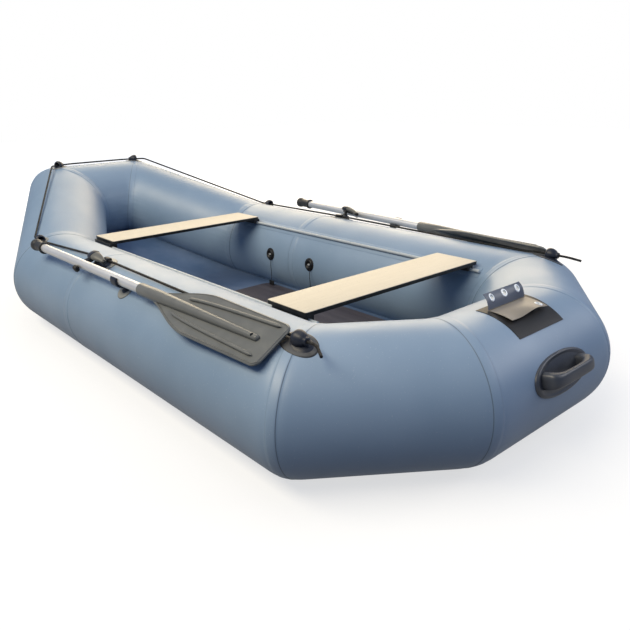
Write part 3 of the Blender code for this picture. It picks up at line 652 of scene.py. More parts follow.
def ring_points(side):
    """Centre-line corners of one side of the tube ring, from stern to bow."""
    return [
        place(-STERN_RUN, side * STERN_HALF, TUBE_R),
        place(0, side * SIDE_OFFSET, TUBE_R),
        place(CHAMBER_SEAM, side * SIDE_OFFSET, TUBE_R),
        place(SIDE_LENGTH, side * SIDE_OFFSET, TUBE_R),
        place(SIDE_LENGTH + BOW_RUN, side * BOW_HALF, TUBE_R + BOW_RISE),
    ]


def tube_axes(start, end, side=PORT):
    """Direction, outboard and upward unit vectors of a tube."""
    along = (end - start).normalized()
    out = along.cross(UP).normalized()
    if not (out.y * side > 0 or (abs(out.y) < TINY and out.x * along.y > 0)):
        out = -out
    up = along.cross(out)
    return along, out, (-up if up.z < 0 else up)


def on_tube(side, run, distance, angle):
    """A frame on a tube's skin: X along it, Z out of the skin, from its aft corner."""
    corners = ring_points(side)
    along, out, up = tube_axes(corners[run], corners[run + 1], side)
    normal = out * math.sin(angle) + up * math.cos(angle)
    spot = corners[run] + along * distance + normal * TUBE_R
    return frame_at(spot, along, normal.cross(along), normal)


def on_stern(offset, angle):
    """A frame on the stern cross tube: X to port, Z out of the skin, angle from the top."""
    centre = place(-STERN_RUN, offset, TUBE_R)
    normal = Vector((-math.sin(angle), 0, math.cos(angle)))
    along = Vector((0, 1, 0))
    return frame_at(centre + normal * TUBE_R, along, normal.cross(along), normal)


def rowlock_frame(side):
    return on_tube(side, 1, ROWLOCK_AT, ROWLOCK_ANGLE)


def line_by_rowlock(side):
    """Where the grab line passes a rowlock, across and out in the rowlock's frame."""
    turn = ROWLOCK_ANGLE - LINE_ANGLE
    reach = TUBE_R + PAD_THICK + LINE_D / 2 + TOUCH
    return -side * reach * math.sin(turn), reach * math.cos(turn) - TUBE_R


def oar_frame(side):
    """A frame on the oar's centre line beside the rowlock: X to the grip, Z out of the blade."""
    pivot = rowlock_frame(side) @ Vector((0, side * SHAFT_OFFSET, SHAFT_HEIGHT))
    axis_point = place(ROWLOCK_AT, side * SIDE_OFFSET, TUBE_R)
    radial = Vector((0, side * math.sin(BLADE_END_ANGLE), math.cos(BLADE_END_ANGLE)))
    far = BLADE_START + BLADE_LENGTH
    tip = axis_point + Vector((-far, 0, 0)) + radial * (TUBE_R + BLADE_REST + BLADE_DROP)
    along = (pivot - tip).normalized()
    across = radial.cross(along).normalized()
    return frame_at(pivot, along, across, along.cross(across))


def guide_frames(side):
    """Frames of the three line guides of one side, by where they are."""
    spot = place(SIDE_LENGTH + BOW_RUN, side * BOW_GUIDE_Y, 2 * TUBE_R + BOW_RISE)
    return {
        "stern": on_tube(side, 1, STERN_GUIDE_AT, LINE_ANGLE),
        "fore": on_tube(side, 1, FORE_GUIDE_AT, FORE_GUIDE_ANGLE),
        "bow": Matrix.Translation(spot) @ Matrix.Rotation(-side * BOW_GUIDE_TURN, 4, "Z"),
    }


class Skin:
    """The tubes' outer surface, for laying glued parts on it."""

    def __init__(self):
        corners, faces = [], []
        for obj in bpy.data.objects:
            if not obj.name.startswith("skin_"):
                continue
            start = len(corners)
            corners += [vert.co.copy() for vert in obj.data.vertices]
            faces += [[start + i for i in face.vertices] for face in obj.data.polygons]
        self.tree = BVHTree.FromPolygons(corners, faces)

    def over(self, base, x, y, out):
        """The point out from the skin, under (x, y) of a frame that faces it."""
        normal = base.col[2].xyz
        start = base @ Vector((x, y, TUBE_R / 2))
        hit, facing, _, _ = self.tree.ray_cast(start, -normal)
        if hit is None:
            raise RuntimeError("a glued part reaches past the tubes")
        if facing.dot(normal) < 0:
            facing = -facing
        return hit + facing * out

    def pad(self, base, outline, profile, shift=(0, 0)):
        """A closed glued part: rows of (share of the outline, out), laid on the skin."""
        columns = len(outline)

        def shape(column, row):
            x, y = outline[column % columns]
            share, out = profile[row]
            return self.over(base, x * share + shift[0], y * share + shift[1], out)

        bm = grid(columns, len(profile) - 1, shape)
        rim = bm.verts.layers.float.new("rim")
        for i, vert in enumerate(bm.verts):
            vert[rim] = profile[i // (columns + 1)][0]
        bmesh.ops.remove_doubles(bm, verts=bm.verts, dist=TINY)
        return bm


def pad_profile(thick):
    """Rows of a flat pad with a rounded edge, sunk a little at its foot."""
    edge, rings = 0.94, 4
    rows = [(i / rings * edge, thick) for i in range(rings + 1)]
    rows += [(edge + (1 - edge) * 0.6, thick * 0.85), (1.0, thick * 0.3), (1.0, -SUNK)]
    return rows + [(0.0, -SUNK)]


# Settings


def colour_setting(name, description, default):
    return bpy.props.FloatVectorProperty(
        name=name, description=description, subtype="COLOR", default=default, min=0.0, max=1.0
    )


def length_setting(name, description, default, low, high):
    return bpy.props.FloatProperty(
        name=name, description=description, unit="LENGTH", default=default, min=low, max=high
    )


class BoatLooks(bpy.types.PropertyGroup):
    """Colours and sizes of the boat's finish."""

    tube_colour: colour_setting(
        "Tubes", "Colour of the tubes' coated fabric", (0.2, 0.295, 0.425)
    )
    bottom_colour: colour_setting(
        "Bottom", "Colour of the bottom's coated fabric", (0.075, 0.135, 0.26)
    )
    board_colour: colour_setting(
        "Floor board", "Colour of the plywood under the feet", (0.062, 0.055, 0.07)
    )
    bench_colour: colour_setting(
        "Benches", "Colour of the benches' laminate", (0.62, 0.565, 0.46)
    )
    plastic_colour: colour_setting(
        "Black plastic",
        "Colour of the bench edges, runners, rowlocks and valves",
        (0.006, 0.0063, 0.0075),
    )
    rubber_colour: colour_setting(
        "Navy rubber", "Colour of the line guides and clips", (0.016, 0.021, 0.036)
    )
    pad_colour: colour_setting(
        "Pads", "Colour of the glued pads under the fittings", (0.27, 0.28, 0.27)
    )
    blade_colour: colour_setting("Blades", "Colour of the oar blades", (0.142, 0.149, 0.148))
    patch_colour: colour_setting(
        "Patch", "Colour of the lacing patch on the stern", (0.01, 0.009, 0.0085)
    )
    seam_width: length_setting(
        "Seam width", "Width of the welded band over each joint of the tubes", 0.026, 0.01, 0.06
    )
    seam_height: length_setting(
        "Seam height", "How far the welded bands stand off the tubes", 0.0006, 0.0, 0.002
    )
    joint_softness: length_setting(
        "Joint softness", "Length over which air rounds each mitre joint", 0.036, 0.005, 0.05
    )
    tube_sides: bpy.props.IntProperty(
        name="Tube sides",
        description="Number of faces round each tube",
        default=96,
        min=32,
        max=192,
    )


def looks():
    return bpy.context.scene.boat_looks


# Finishes that several pieces share


def tube_finish():
    return material("tube_fabric_satin", tube_fabric, looks())


def black_plastic():
    return material("black_plastic_satin", moulded_plastic, looks().plastic_colour)


def navy_rubber():
    return material("navy_rubber_satin", moulded_plastic, looks().rubber_colour)


def pad_fabric():
    return material("pad_fabric", plain_fabric, looks().pad_colour, 0.4)


# Tubes


def tube_runs():
    """Each tube's name, its ends, the directions of its neighbours and its side of the seams."""
    names = ("stern", "side_aft", "side_fore", "bow")
    closed = ring_points(STARBOARD)[::-1] + ring_points(PORT)
    labels = [f"{name}_starboard" for name in names[::-1]]
    labels += ["stern_cross"] + [f"{name}_port" for name in names] + ["bow_cross"]
    count = len(closed)
    runs = []
    for i, label in enumerate(labels):
        a, b = closed[i], closed[(i + 1) % count]
        before = (a - closed[i - 1]).normalized()
        after = (closed[(i + 2) % count] - b).normalized()
        runs.append((label, a, b, before, after, PORT if i % 2 else STARBOARD))
    return runs


def tube_skin(start, end, before, after, seam_side):
    """One tube between two mitre joints, each rounded as air pressure rounds fabric."""
    sides = looks().tube_sides
    soft = looks().joint_softness
    half_band = looks().seam_width / 2
    along, out, up = tube_axes(start, end)
    near = [0, 0.0012, 0.004, 0.008, half_band - 0.0005, half_band + 0.0005, 0.02, 0.028, soft]
    near += [0.044, 0.052]
    inner = 6
    count = len(near)
    rows = count * 2 + inner - 1

    def band(distance):
        return looks().seam_height if distance < half_band else 0.0

    def corner(middle, towards, turn, radius):
        offset = (out * math.cos(turn) + up * math.sin(turn)) * radius
        normal = (along + towards).normalized()
        return middle + offset - along * (offset.dot(normal) / along.dot(normal))

    def rounded(tip, ahead, beyond, distance):
        if distance >= soft:
            return tip + ahead * distance
        share = 0.5 * (1 - distance / soft)
        inside, outside = tip + ahead * soft, tip + beyond * soft
        blend = inside * (1 - share) ** 2 + tip * 2 * share * (1 - share)
        return blend + outside * share**2

    def shape(column, row):
        turn = math.tau * column / sides
        if row < count:
            tip = corner(start, before, turn, TUBE_R + band(near[row]))
            return rounded(tip, along, -before, near[row])
        if row > rows - count:
            distance = near[rows - row]
            tip = corner(end, after, turn, TUBE_R + band(distance))
            return rounded(tip, -along, after, distance)
        first = corner(start, before, turn, TUBE_R) + along * near[-1]
        last = corner(end, after, turn, TUBE_R) - along * near[-1]
        return first.lerp(last, (row - count + 1) / (inner + 1))

    length = (end - start).length

    def uv(column, row):
        if row < count:
            distance = near[row]
        elif row > rows - count:
            distance = length - near[rows - row]
        else:
            share = (row - count + 1) / (inner + 1)
            distance = near[-1] + (length - 2 * near[-1]) * share
        return math.tau * TUBE_R * column / sides, distance

    bm = grid(sides, rows, shape, uv)
    from_seam = bm.verts.layers.float.new("from_seam")
    pucker = bm.verts.layers.float.new("pucker")
    bends = (along - before).normalized(), (after - along).normalized()
    pucker_reach, least = 0.07, 1e-5
    for i, vert in enumerate(bm.verts):
        column, row = i % (sides + 1), i // (sides + 1)
        turn = math.tau * column / sides
        radial = out * math.cos(turn) + up * math.sin(turn)
        vert.co.z = max(vert.co.z, 0.0)
        distances = uv(column, row)[1], length - uv(column, row)[1]
        vert[from_seam] = seam_side * max(least, min(distances))
        vert[pucker] = sum(
            max(0.0, radial.dot(bend)) ** 2 * math.exp(-((distance / pucker_reach) ** 2))
            for bend, distance in zip(bends, distances)
        )
    return bm


class BOAT_OT_tubes(bpy.types.Operator):
    """Makes the ten lengths of inflated tube with their welded seams"""

    bl_idname = "boat.tubes"
    bl_label = "Tubes"

    def execute(self, context):
        fabric = tube_finish()
        for label, *run in tube_runs():
            bm = tube_skin(*run)
            node = "tube_" + label
            finished(f"skin_{label}", bm, fabric, "hull", [node])
        return {"FINISHED"}


# Bottom, floor board and rails


class BOAT_OT_bottom(bpy.types.Operator):
    """Gives the fabric bottom its finish and makes the floor board"""

    bl_idname = "boat.bottom"
    bl_label = "Bottom and floor board"

    def execute(self, context):
        fabric = plain_fabric("bottom_fabric_matt", looks().bottom_colour, 0.5)
        frame["nodes"]["hull_bottom"].material_slots[0].material = fabric
        ply = floor_ply("floor_ply", looks().board_colour)
        low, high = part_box("floor_board")
        size = high - low
        bm = slab(size, 0.03, 6)
        soften(bm, [edge for edge in bm.edges if rise(edge) < TINY], 0.0012, 2)
        bmesh.ops.translate(bm, verts=bm.verts, vec=(low + high) / 2)
        finished("floor_panel", bm, ply, "hull", ["floor_board"])
        return {"FINISHED"}


class BOAT_OT_rails(bpy.types.Operator):
    """Makes the two glued rails that the benches slide along"""

    bl_idname = "boat.rails"
    bl_label = "Bench rails"

    def execute(self, context):
        plastic = moulded_plastic("rail_plastic", (0.45, 0.5, 0.54), 0.3, wear=0.2)
        fabric = tube_finish()
        half, thick, bead, neck, height = 0.018, 0.0016, 0.0048, 0.0025, 0.0085
        strip = [(half, -SUNK), (half, thick * 0.4), (half - 0.002, thick), (neck, thick)]
        strip += [(-across, out) for across, out in strip[::-1]]
        first = -math.acos(neck / bead)
        round_part = []
        for i in range(17):
            turn = first + (math.pi - 2 * first) * i / 16
            round_part.append((bead * math.cos(turn), height + bead * math.sin(turn)))
        round_part = [(neck, 0.0005)] + round_part + [(-neck, 0.0005)]
        for side, word in SIDE_NAMES.items():
            base = on_tube(side, 1, 0, RAIL_ANGLE)
            name = f"bench_rail_{word}"
            bm = self.length_of(strip, base)
            finished(f"rail_strip_{word}", bm, fabric, "hull", [name])
            bm = self.length_of(round_part, base)
            finished(f"rail_{word}", bm, plastic, "hull", [name])
        return {"FINISHED"}

    def length_of(self, profile, base):
        """A profile of (across, out) points run along the tube, closed at both ends."""
        start, end, count, steps = 0.096, SIDE_LENGTH - 0.055, len(profile), 24

        def shape(column, row):
            across, out = profile[column % count]
            reach, turn = TUBE_R + out, across / TUBE_R
            distance = start + (end - start) * row / steps
            spot = (distance, reach * math.sin(turn), reach * math.cos(turn) - TUBE_R)
            return base @ Vector(spot)

        bm = grid(count, steps, shape)
        close_ends(bm)
        return bm


# Benches


def bench_edge(low, high):
    """The black edging round a bench: a block with grooves run round its sides."""
    bm = slab(high - low, 0.006, 5)
    tall = high.z - low.z
    grooves_at = {-0.32: -0.22, -0.08: 0.02, 0.16: 0.26}
    for level in [end for pair in grooves_at.items() for end in pair]:
        bmesh.ops.bisect_plane(
            bm,
            geom=bm.verts[:] + bm.edges[:] + bm.faces[:],
            plane_co=(0, 0, level * tall),
            plane_no=(0, 0, 1),
        )
    grooves = []
    for face in bm.faces:
        share = face.calc_center_median().z / tall
        inside = any(low_end < share < high_end for low_end, high_end in grooves_at.items())
        if inside and abs(face.normal.z) < 0.5:
            grooves.append(face)
    bmesh.ops.inset_region(bm, faces=grooves, thickness=0.0003, depth=-0.0008)
    bmesh.ops.translate(bm, verts=bm.verts, vec=(low + high) / 2)
    return bm


class BOAT_OT_benches(bpy.types.Operator):
    """Makes the two bench boards and their ridged edging, and gives the runners under them their
    finish
    """

    bl_idname = "boat.benches"
    bl_label = "Benches"

    def execute(self, context):
        top = bench_laminate("bench_laminate", looks().bench_colour)
        edge = black_plastic()
        proud, border, thick = 0.0012, 0.0015, 0.003
        for bench in ("bench_bow", "bench_stern"):
            node = f"{bench}_board"
            low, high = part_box(node)
            bm = bench_edge(low, high - Vector((0.0, 0.0, proud)))
            finished(f"{bench}_edging", bm, edge, bench, [node])
            size = high - low
            size = Vector((size.x - 2 * border, size.y - 2 * border, thick))
            middle = (low + high) / 2
            middle.z = high.z - size.z / 2
            bm = slab(size, 0.0055, 5)
            rims = [edge for edge in bm.edges if min(v.co.z for v in edge.verts) > 0]
            soften(bm, rims, 0.0005, 2)
            bmesh.ops.translate(bm, verts=bm.verts, vec=middle)
            finished(f"{bench}_top", bm, top, bench, [node])
            for word in SIDE_NAMES.values():
                name = f"{bench}_bracket_{word}"
                frame["nodes"][name].material_slots[0].material = edge
        return {"FINISHED"}


# Grab line


def line_corners(side):
    """The points between which one side of the grab line runs straight, from its stern tail."""
    frames = guide_frames(side)
    height = PAD_THICK + LINE_D / 2 + TOUCH
    skin = LINE_D / 2 + TOUCH
    reach = GUIDE_PAD[0] / 2 + LINE_BEND
    mirror = Matrix.Diagonal((1, side, 1))
    rowlock = rowlock_frame(side)
    rowlock_reach = ROWLOCK_PAD[0] / 2 + LINE_BEND
    across, out = line_by_rowlock(side)
    return [
        frames["stern"] @ (mirror @ Vector((-0.085, 0.02, 0.0036))),
        frames["stern"] @ Vector((-reach, 0, height)),
        frames["stern"] @ Vector((reach, 0, height)),
        on_tube(side, 1, 0.06, LINE_ANGLE) @ Vector((0, 0, skin)),
        on_tube(side, 1, 0.3, LINE_ANGLE) @ Vector((0, 0, skin)),
        rowlock @ Vector((-rowlock_reach, across, out)),
        rowlock @ Vector((rowlock_reach, across, out)),
        frames["fore"] @ Vector((-reach, 0, height)),
        frames["fore"] @ Vector((reach, 0, height)),
        frames["bow"] @ Vector((-reach, 0, height)),
        frames["bow"] @ Vector((0, 0, height)),
        frames["bow"] @ (mirror @ Vector((0.012, -0.02, 0)) + Vector((reach, 0, height))),
    ]


class BOAT_OT_grab_line(bpy.types.Operator):
    """Makes the grab line and the six guides that hold it"""

    bl_idname = "boat.grab_line"
    bl_label = "Grab line"

    def execute(self, context):
        rope = braided_rope("braided_rope", (0.014, 0.014, 0.015))
        corners = line_corners(PORT) + line_corners(STARBOARD)[::-1]
        route = softened(corners, LINE_BEND, 6)
        size = (math.tau * LINE_D / 2, cord_length(route))
        bm = sweep(route, round_section(LINE_D / 2, 12), UP, size)
        finished("rope", bm, rope, "hull", ["grab_line"], 60)
        rubber = navy_rubber()
        pale = pad_fabric()
        dark = plain_fabric("stern_pad_fabric", (0.07, 0.073, 0.078), 0.33)
        skin = Skin()
        for side, word in SIDE_NAMES.items():
            for where, base in guide_frames(side).items():
                node = f"line_guide_{where}_{word}"
                stern = where == "stern"
                outline = oval(*STERN_GUIDE_PAD) if stern else oval(*GUIDE_PAD)
                shift = STERN_GUIDE_PAD_SHIFT if stern else (0, 0)
                bm = skin.pad(base, outline, pad_profile(0.0018), shift)
                finished(f"guide_pad_{where}_{word}", bm, dark if stern else pale, "hull", [node])
                rows = [(0.0, 0.006), (0.35, 0.006), (0.55, 0.0054), (0.75, 0.0042)]
                rows += [(0.9, 0.0028), (1.0, 0.0014), (1.0, 0.0005), (0.0, 0.0005)]
                foot = skin.pad(base, oval(*GUIDE_FOOT), rows)
                height = PAD_THICK + LINE_D / 2
                hood = round_line(base, hood_profile(), height, way=1 if stern else -1)
                name = f"guide_{where}_{word}"
                finished(name, merged(foot, hood), rubber, "hull", [node], 50)
        return {"FINISHED"}


def hood_profile():
    """A cover that the line runs through: a wide mouth at one end, a ring at the other."""
    bore = 0.0046
    mouth = [(bore, 0.0), (0.0105, 0.008), (0.0118, 0.0125), (0.0135, 0.0145)]
    body = [(0.0165, 0.0135), (0.0186, 0.010), (0.0194, 0.005), (0.0186, -0.001)]
    body += [(0.016, -0.008), (0.0122, -0.014), (0.0096, -0.0165), (0.0088, -0.0178)]
    ring = [(0.009, -0.0185), (0.009, -0.0215), (0.0078, -0.0228), (bore, -0.0228)]
    return mouth + body + ring


def low_cover_profile():
    """A low cover that the line runs through beside a rowlock."""
    bore = 0.0043
    mouth = [(bore, 0.0135), (0.0052, 0.0155), (0.0062, 0.0155), (0.0066, 0.0135)]
    return mouth + [(0.0066, -0.0115), (0.0058, -0.015), (bore, -0.015)]


def round_line(base, profile, height, across=0.0, way=1, wide=1.0):
    """A closed section turned round the line, flat underneath where it meets its pad."""
    bm = turned(profile + [profile[0]], Z_TO_X, 40)
    for vert in bm.verts:
        along, side, up = vert.co
        vert.co = (along * way, side * wide + across, max(up + height, -0.0012))
    bmesh.ops.transform(bm, matrix=base, verts=bm.verts)
    return bm


# Rowlocks


class BOAT_OT_rowlocks(bpy.types.Operator):
    """Makes the two rowlocks: glued pad, socket, ball post and capped head"""

    bl_idname = "boat.rowlocks"
    bl_label = "Rowlocks"

    def execute(self, context):
        rubber = navy_rubber()
        black = black_plastic()
        pale = pad_fabric()
        skin = Skin()
        for side, word in SIDE_NAMES.items():
            base = rowlock_frame(side)
            across, out = line_by_rowlock(side)
            node = f"rowlock_base_{word}"
            shift = (0, across / 3)
            bm = skin.pad(base, oval(*ROWLOCK_PAD), pad_profile(0.002), shift)
            finished(f"rowlock_pad_{word}", bm, pale, "hull", [node])
            rows = [(0.0, 0.0055), (0.5, 0.0055), (0.72, 0.005), (0.88, 0.0042), (0.97, 0.003)]
            rows += [(1.0, 0.0018), (1.0, 0.0005), (0.0, 0.0005)]
            seat = skin.pad(base, oval(*ROWLOCK_SEAT), rows, shift)
            cup = [(0, 0.004), (0.021, 0.004), (0.0195, 0.008), (0.0176, 0.0165)]
            cup += [(0.0145, 0.0165), (0.0128, 0.0135), (0.0126, 0.013), (0, 0.0002)]
            seat = merged(seat, turned(cup, base))
            finished(f"rowlock_seat_{word}", seat, rubber, "hull", [node], 50)
            cover = round_line(base, low_cover_profile(), out, across, wide=1.9)
            finished(f"rowlock_cover_{word}", cover, black, "hull", [node], 50)
            ball = []
            for i in range(17):
                turn = -math.pi / 2 + (math.pi / 2 + math.acos(0.5)) * i / 16
                ball.append((BALL_R * math.cos(turn), BALL_HEIGHT + BALL_R * math.sin(turn)))
            ball[0] = (0, BALL_HEIGHT - BALL_R)
            stem = ball + [(STEM_R, HEAD_TOP - 0.0013), (0, HEAD_TOP - 0.0013)]
            post = f"rowlock_post_{word}"
            bm = turned(stem, base)
            finished(f"rowlock_ball_{word}", bm, black, post, [post])
            self.head(side, word, base, rubber, black)
        return {"FINISHED"}

    def head(self, side, word, base, rubber, black):
        """The capped ring with its arm to the oar."""
        node = f"rowlock_head_{word}"
        body = f"oar_{word}"
        ring = [(RING_HOLE_R, HEAD_BOTTOM), (0.0118, HEAD_BOTTOM), (RING_R, HEAD_BOTTOM + 0.0008)]
        ring += [(RING_R, HEAD_TOP), (0.0, HEAD_TOP), (0.0, HEAD_TOP - 0.0003)]
        ring += [(RING_HOLE_R, HEAD_TOP - 0.0003), (RING_HOLE_R, HEAD_BOTTOM)]
        arm_end = SHAFT_OFFSET - SHAFT_R - TOUCH
        middle = side * (arm_end + 0.008) / 2
        arm = Matrix.Translation((0, middle, (HEAD_BOTTOM + HEAD_TOP) / 2))
        arm = block((0.024, arm_end - 0.008, 0.012), base @ arm, 0.0025)
        finished(f"rowlock_ring_{word}", merged(turned(ring, base), arm), black, body, [node])
        # The dome is black plastic; its warm grey colour is a painted highlight that stands in for
        # the broad sheen on it.
        cap_grey_painted_sheen = material("cap_plastic", moulded_plastic, (0.13, 0.13, 0.12), 0.3)
        cap = self.cap_part(base, CAP_ROWS, 0.0)
        finished(f"rowlock_cap_{word}", cap, cap_grey_painted_sheen, body, [node], 50)
        band = self.cap_part(base, CAP_ROWS[CAP_BAND], 0.0014)
        finished(f"rowlock_band_{word}", band, rubber, body, [node], 50)
        nozzle = self.cap_part(base, CAP_ROWS[-2:], 0.0013)
        finished(f"rowlock_nozzle_{word}", nozzle, black, body, [node], 50)

    def cap_part(self, base, rows, proud):
        """A closed length of the cap from (place, height, half width, half height) rows."""
        route = [base @ Vector((x, 0, high)) for x, high, _, _ in rows]
        outlines = []
        for *_, wide, tall in rows:
            outlines.append(oval(2 * (wide + proud), 2 * (tall + proud), 36, 2.5))
        last = len(rows) - 1
        return sweep(route, lambda share: outlines[round(share * last)], base.col[2].xyz)


# Oars


class BOAT_OT_oars(bpy.types.Operator):
    """Makes the two oars: shaft, grip, ribbed blade and pivot bolt"""

    bl_idname = "boat.oars"
    bl_label = "Oars"

    def execute(self, context):
        metal = brushed_metal("shaft_aluminium_satin", (0.72, 0.73, 0.74))
        plastic = moulded_plastic("blade_plastic_fine", looks().blade_colour, 0.33, 300.0, 0.03)
        black = black_plastic()
        grip = moulded_plastic("grip_rubber", (0.028, 0.029, 0.03), 0.42, 260.0, 0.05)
        for side, word in SIDE_NAMES.items():
            base = oar_frame(side)
            along = base @ Z_TO_X
            body = f"oar_{word}"
            front = OAR_FORWARD - GRIP_LENGTH
            profile = [(0, -BLADE_START), (SHAFT_R, -BLADE_START), (SHAFT_R, front), (0, front)]
            shaft = turned(profile, along)
            finished(f"shaft_{word}", shaft, metal, body, [f"oar_shaft_{word}"])
            bm = turned(softened(self.grip_profile(), 0.004, 3), along)
            finished(f"grip_{word}", bm, grip, body, [f"oar_grip_{word}"])
            self.blade(side, word, base, plastic, body)
            self.bolt(side, word, base, black, body)
        return {"FINISHED"}

    def grip_profile(self):
        start = OAR_FORWARD - GRIP_LENGTH
        return [
            (0, start),
            (0.0195, start),
            (0.0205, start + 0.003),
            (0.0195, start + 0.009),
            (0.0162, start + 0.012),
            (0.0168, start + 0.04),
            (0.0165, OAR_FORWARD - 0.03),
            (0.0203, OAR_FORWARD - 0.018),
            (0.0203, OAR_FORWARD - 0.006),
            (0.0125, OAR_FORWARD),
            (0, OAR_FORWARD),
        ]

    def half_width(self, x):
        """Half the blade's width at x, from its neck to its square end."""
        neck, shoulder, wide, narrow = 0.0125, 0.25, 0.0655, 0.061
        start = -BLADE_START - BLADE_NECK
        end = -BLADE_START - BLADE_LENGTH
        if x > start - shoulder:
            share = (1 - math.cos(math.pi * (start - x) / shoulder)) / 2
            return neck + (wide - neck) * max(0.0, share)
        share = (start - shoulder - x) / (start - shoulder - end)
        width = wide + (narrow - wide) * share
        into = end + BLADE_CORNER - x
        if into > 0:
            width -= BLADE_CORNER - math.sqrt(max(0.0, BLADE_CORNER**2 - into**2))
        return width

    def blade(self, side, word, base, plastic, body):
        end = -BLADE_START - BLADE_LENGTH
        start = -BLADE_START - BLADE_NECK
        tip = [0, 0.0003, 0.001, 0.002, 0.003, 0.004, 0.005, 0.0065, 0.008, 0.01, 0.013, 0.0165]
        stations = [end + distance for distance in tip]
        straight = start - end - BLADE_CORNER
        stations += [end + BLADE_CORNER + straight * i / 70 for i in range(71)]
        edge = [0, 0.0003, 0.001, 0.002, 0.003, 0.004, 0.005, 0.0065, 0.008]
        across = 12
        half = len(edge) * 2 + across - 1
        low, high = -BLADE_DROP, -0.003
        rim, rim_in, rim_width = 0.0028, 0.0042, 0.0017

        def offset(width, column):
            """Distance across, from the outboard edge, of one of a face's columns."""
            room = min(1.0, width / BLADE_CORNER)
            if column < len(edge):
                return width - edge[column] * room
            if column > half - len(edge):
                return -width + edge[half - column] * room
            inner = width - edge[-1] * room
            share = (column - len(edge) + 1) / (half - 2 * len(edge) + 2)
            return inner * (1 - 2 * share)

        def shape(column, row):
            x = stations[row]
            width = self.half_width(x)
            upper = column <= half
            y = offset(width, column if upper else 2 * half + 1 - column)
            near = min(width - abs(y), x - end)
            lift = rim * math.exp(-(((near - rim_in) / rim_width) ** 2))
            round_off = 0.0009 * math.exp(-near / 0.0006)
            z = high + lift - round_off if upper else low + round_off
            return base @ Vector((x, y, z))

        columns = 2 * half + 2
        bm = grid(columns, len(stations) - 1, lambda column, row: shape(column % columns, row))
        close_ends(bm)
        parts = [bm]
        top = high + 0.0034
        ribs = {
            (-0.556, -0.884): (-0.026, -0.047),
            (-0.545, -0.878): (0.027, 0.041),
        }
        for (x0, x1), (y0, y1) in ribs.items():
            bend, flare = 0.06, math.copysign(0.008, y1)
            points = []
            for i in range(33):
                share = i / 32
                x = x0 + (x1 - x0) * share
                run = (x0 - x) / (x0 - x1)
                curve = flare * (1 - math.exp(-run * 0.328 / bend))
                y = y0 + (y1 - y0 - flare) * run + curve
                points.append(base @ Vector((x, y * side, top)))
            parts.append(round_bar(points, 0.0042, 14, base.col[2].xyz))
        for i in range(4):
            gap = 0.0085 + 0.0028 * i
            points = []
            for j in range(41):
                x = -0.5 - 0.378 * j / 40
                y = -(self.half_width(x) - gap)
                points.append(base @ Vector((x, y * side, high - 0.0003)))
            parts.append(round_bar(points, 0.0011, 8, base.col[2].xyz))
        profile = self.spine_profile()
        parts.append(turned(profile, base @ Z_TO_X, 40))
        blade = finished(
            f"blade_{word}", merged(*parts), plastic, body, [f"oar_blade_{word}"], 40
        )
        hole_r, deep = 0.0042, 0.02
        hole = [(0, 0), (hole_r, 0), (hole_r, deep), (0, deep)]
        cut(blade, turned(hole, base @ Matrix.Translation((-0.838, 0, 0.002)), 24))

    def spine_profile(self):
        """The socket that takes the shaft, tapering along the blade to a round end."""
        end = -(BLADE_START + BLADE_LENGTH - 0.05)
        taper = -BLADE_START - 0.09
        tip_r, wide_r = 0.0075, 0.0175
        points = []
        for i in range(9):
            turn = math.pi / 2 * i / 8
            points.append((tip_r * math.sin(turn), end + tip_r * (1 - math.cos(turn))))
        points[0] = (0, end)
        points += [(wide_r, taper), (wide_r, -BLADE_START - 0.003), (0.0165, -BLADE_START)]
        return points + [(SHAFT_R, -BLADE_START), (0, -BLADE_START - 0.001)]

    def bolt(self, side, word, base, black, body):
        out = SHAFT_R
        profile = [(0, out - 0.002), (0.004, out - 0.002), (0.004, out + 0.002)]
        profile += [(0.009, out + 0.002), (0.0115, out + 0.005), (0.0115, out + 0.012)]
        profile += [(0.008, out + 0.015), (0, out + 0.0155)]
        outward = base @ Matrix.Rotation(-side * math.pi / 2, 4, "X")
        wings = Matrix.Translation((0, 0, out + 0.0095)) @ Matrix.Rotation(0.5, 4, "Z")
        wings = block((0.03, 0.005, 0.009), outward @ wings, 0.0015)
        knob = merged(turned(profile, outward, 32), wings)
        node = f"oar_bolt_{word}"
        finished(f"bolt_{word}", knob, black, body, [node])


# Clips


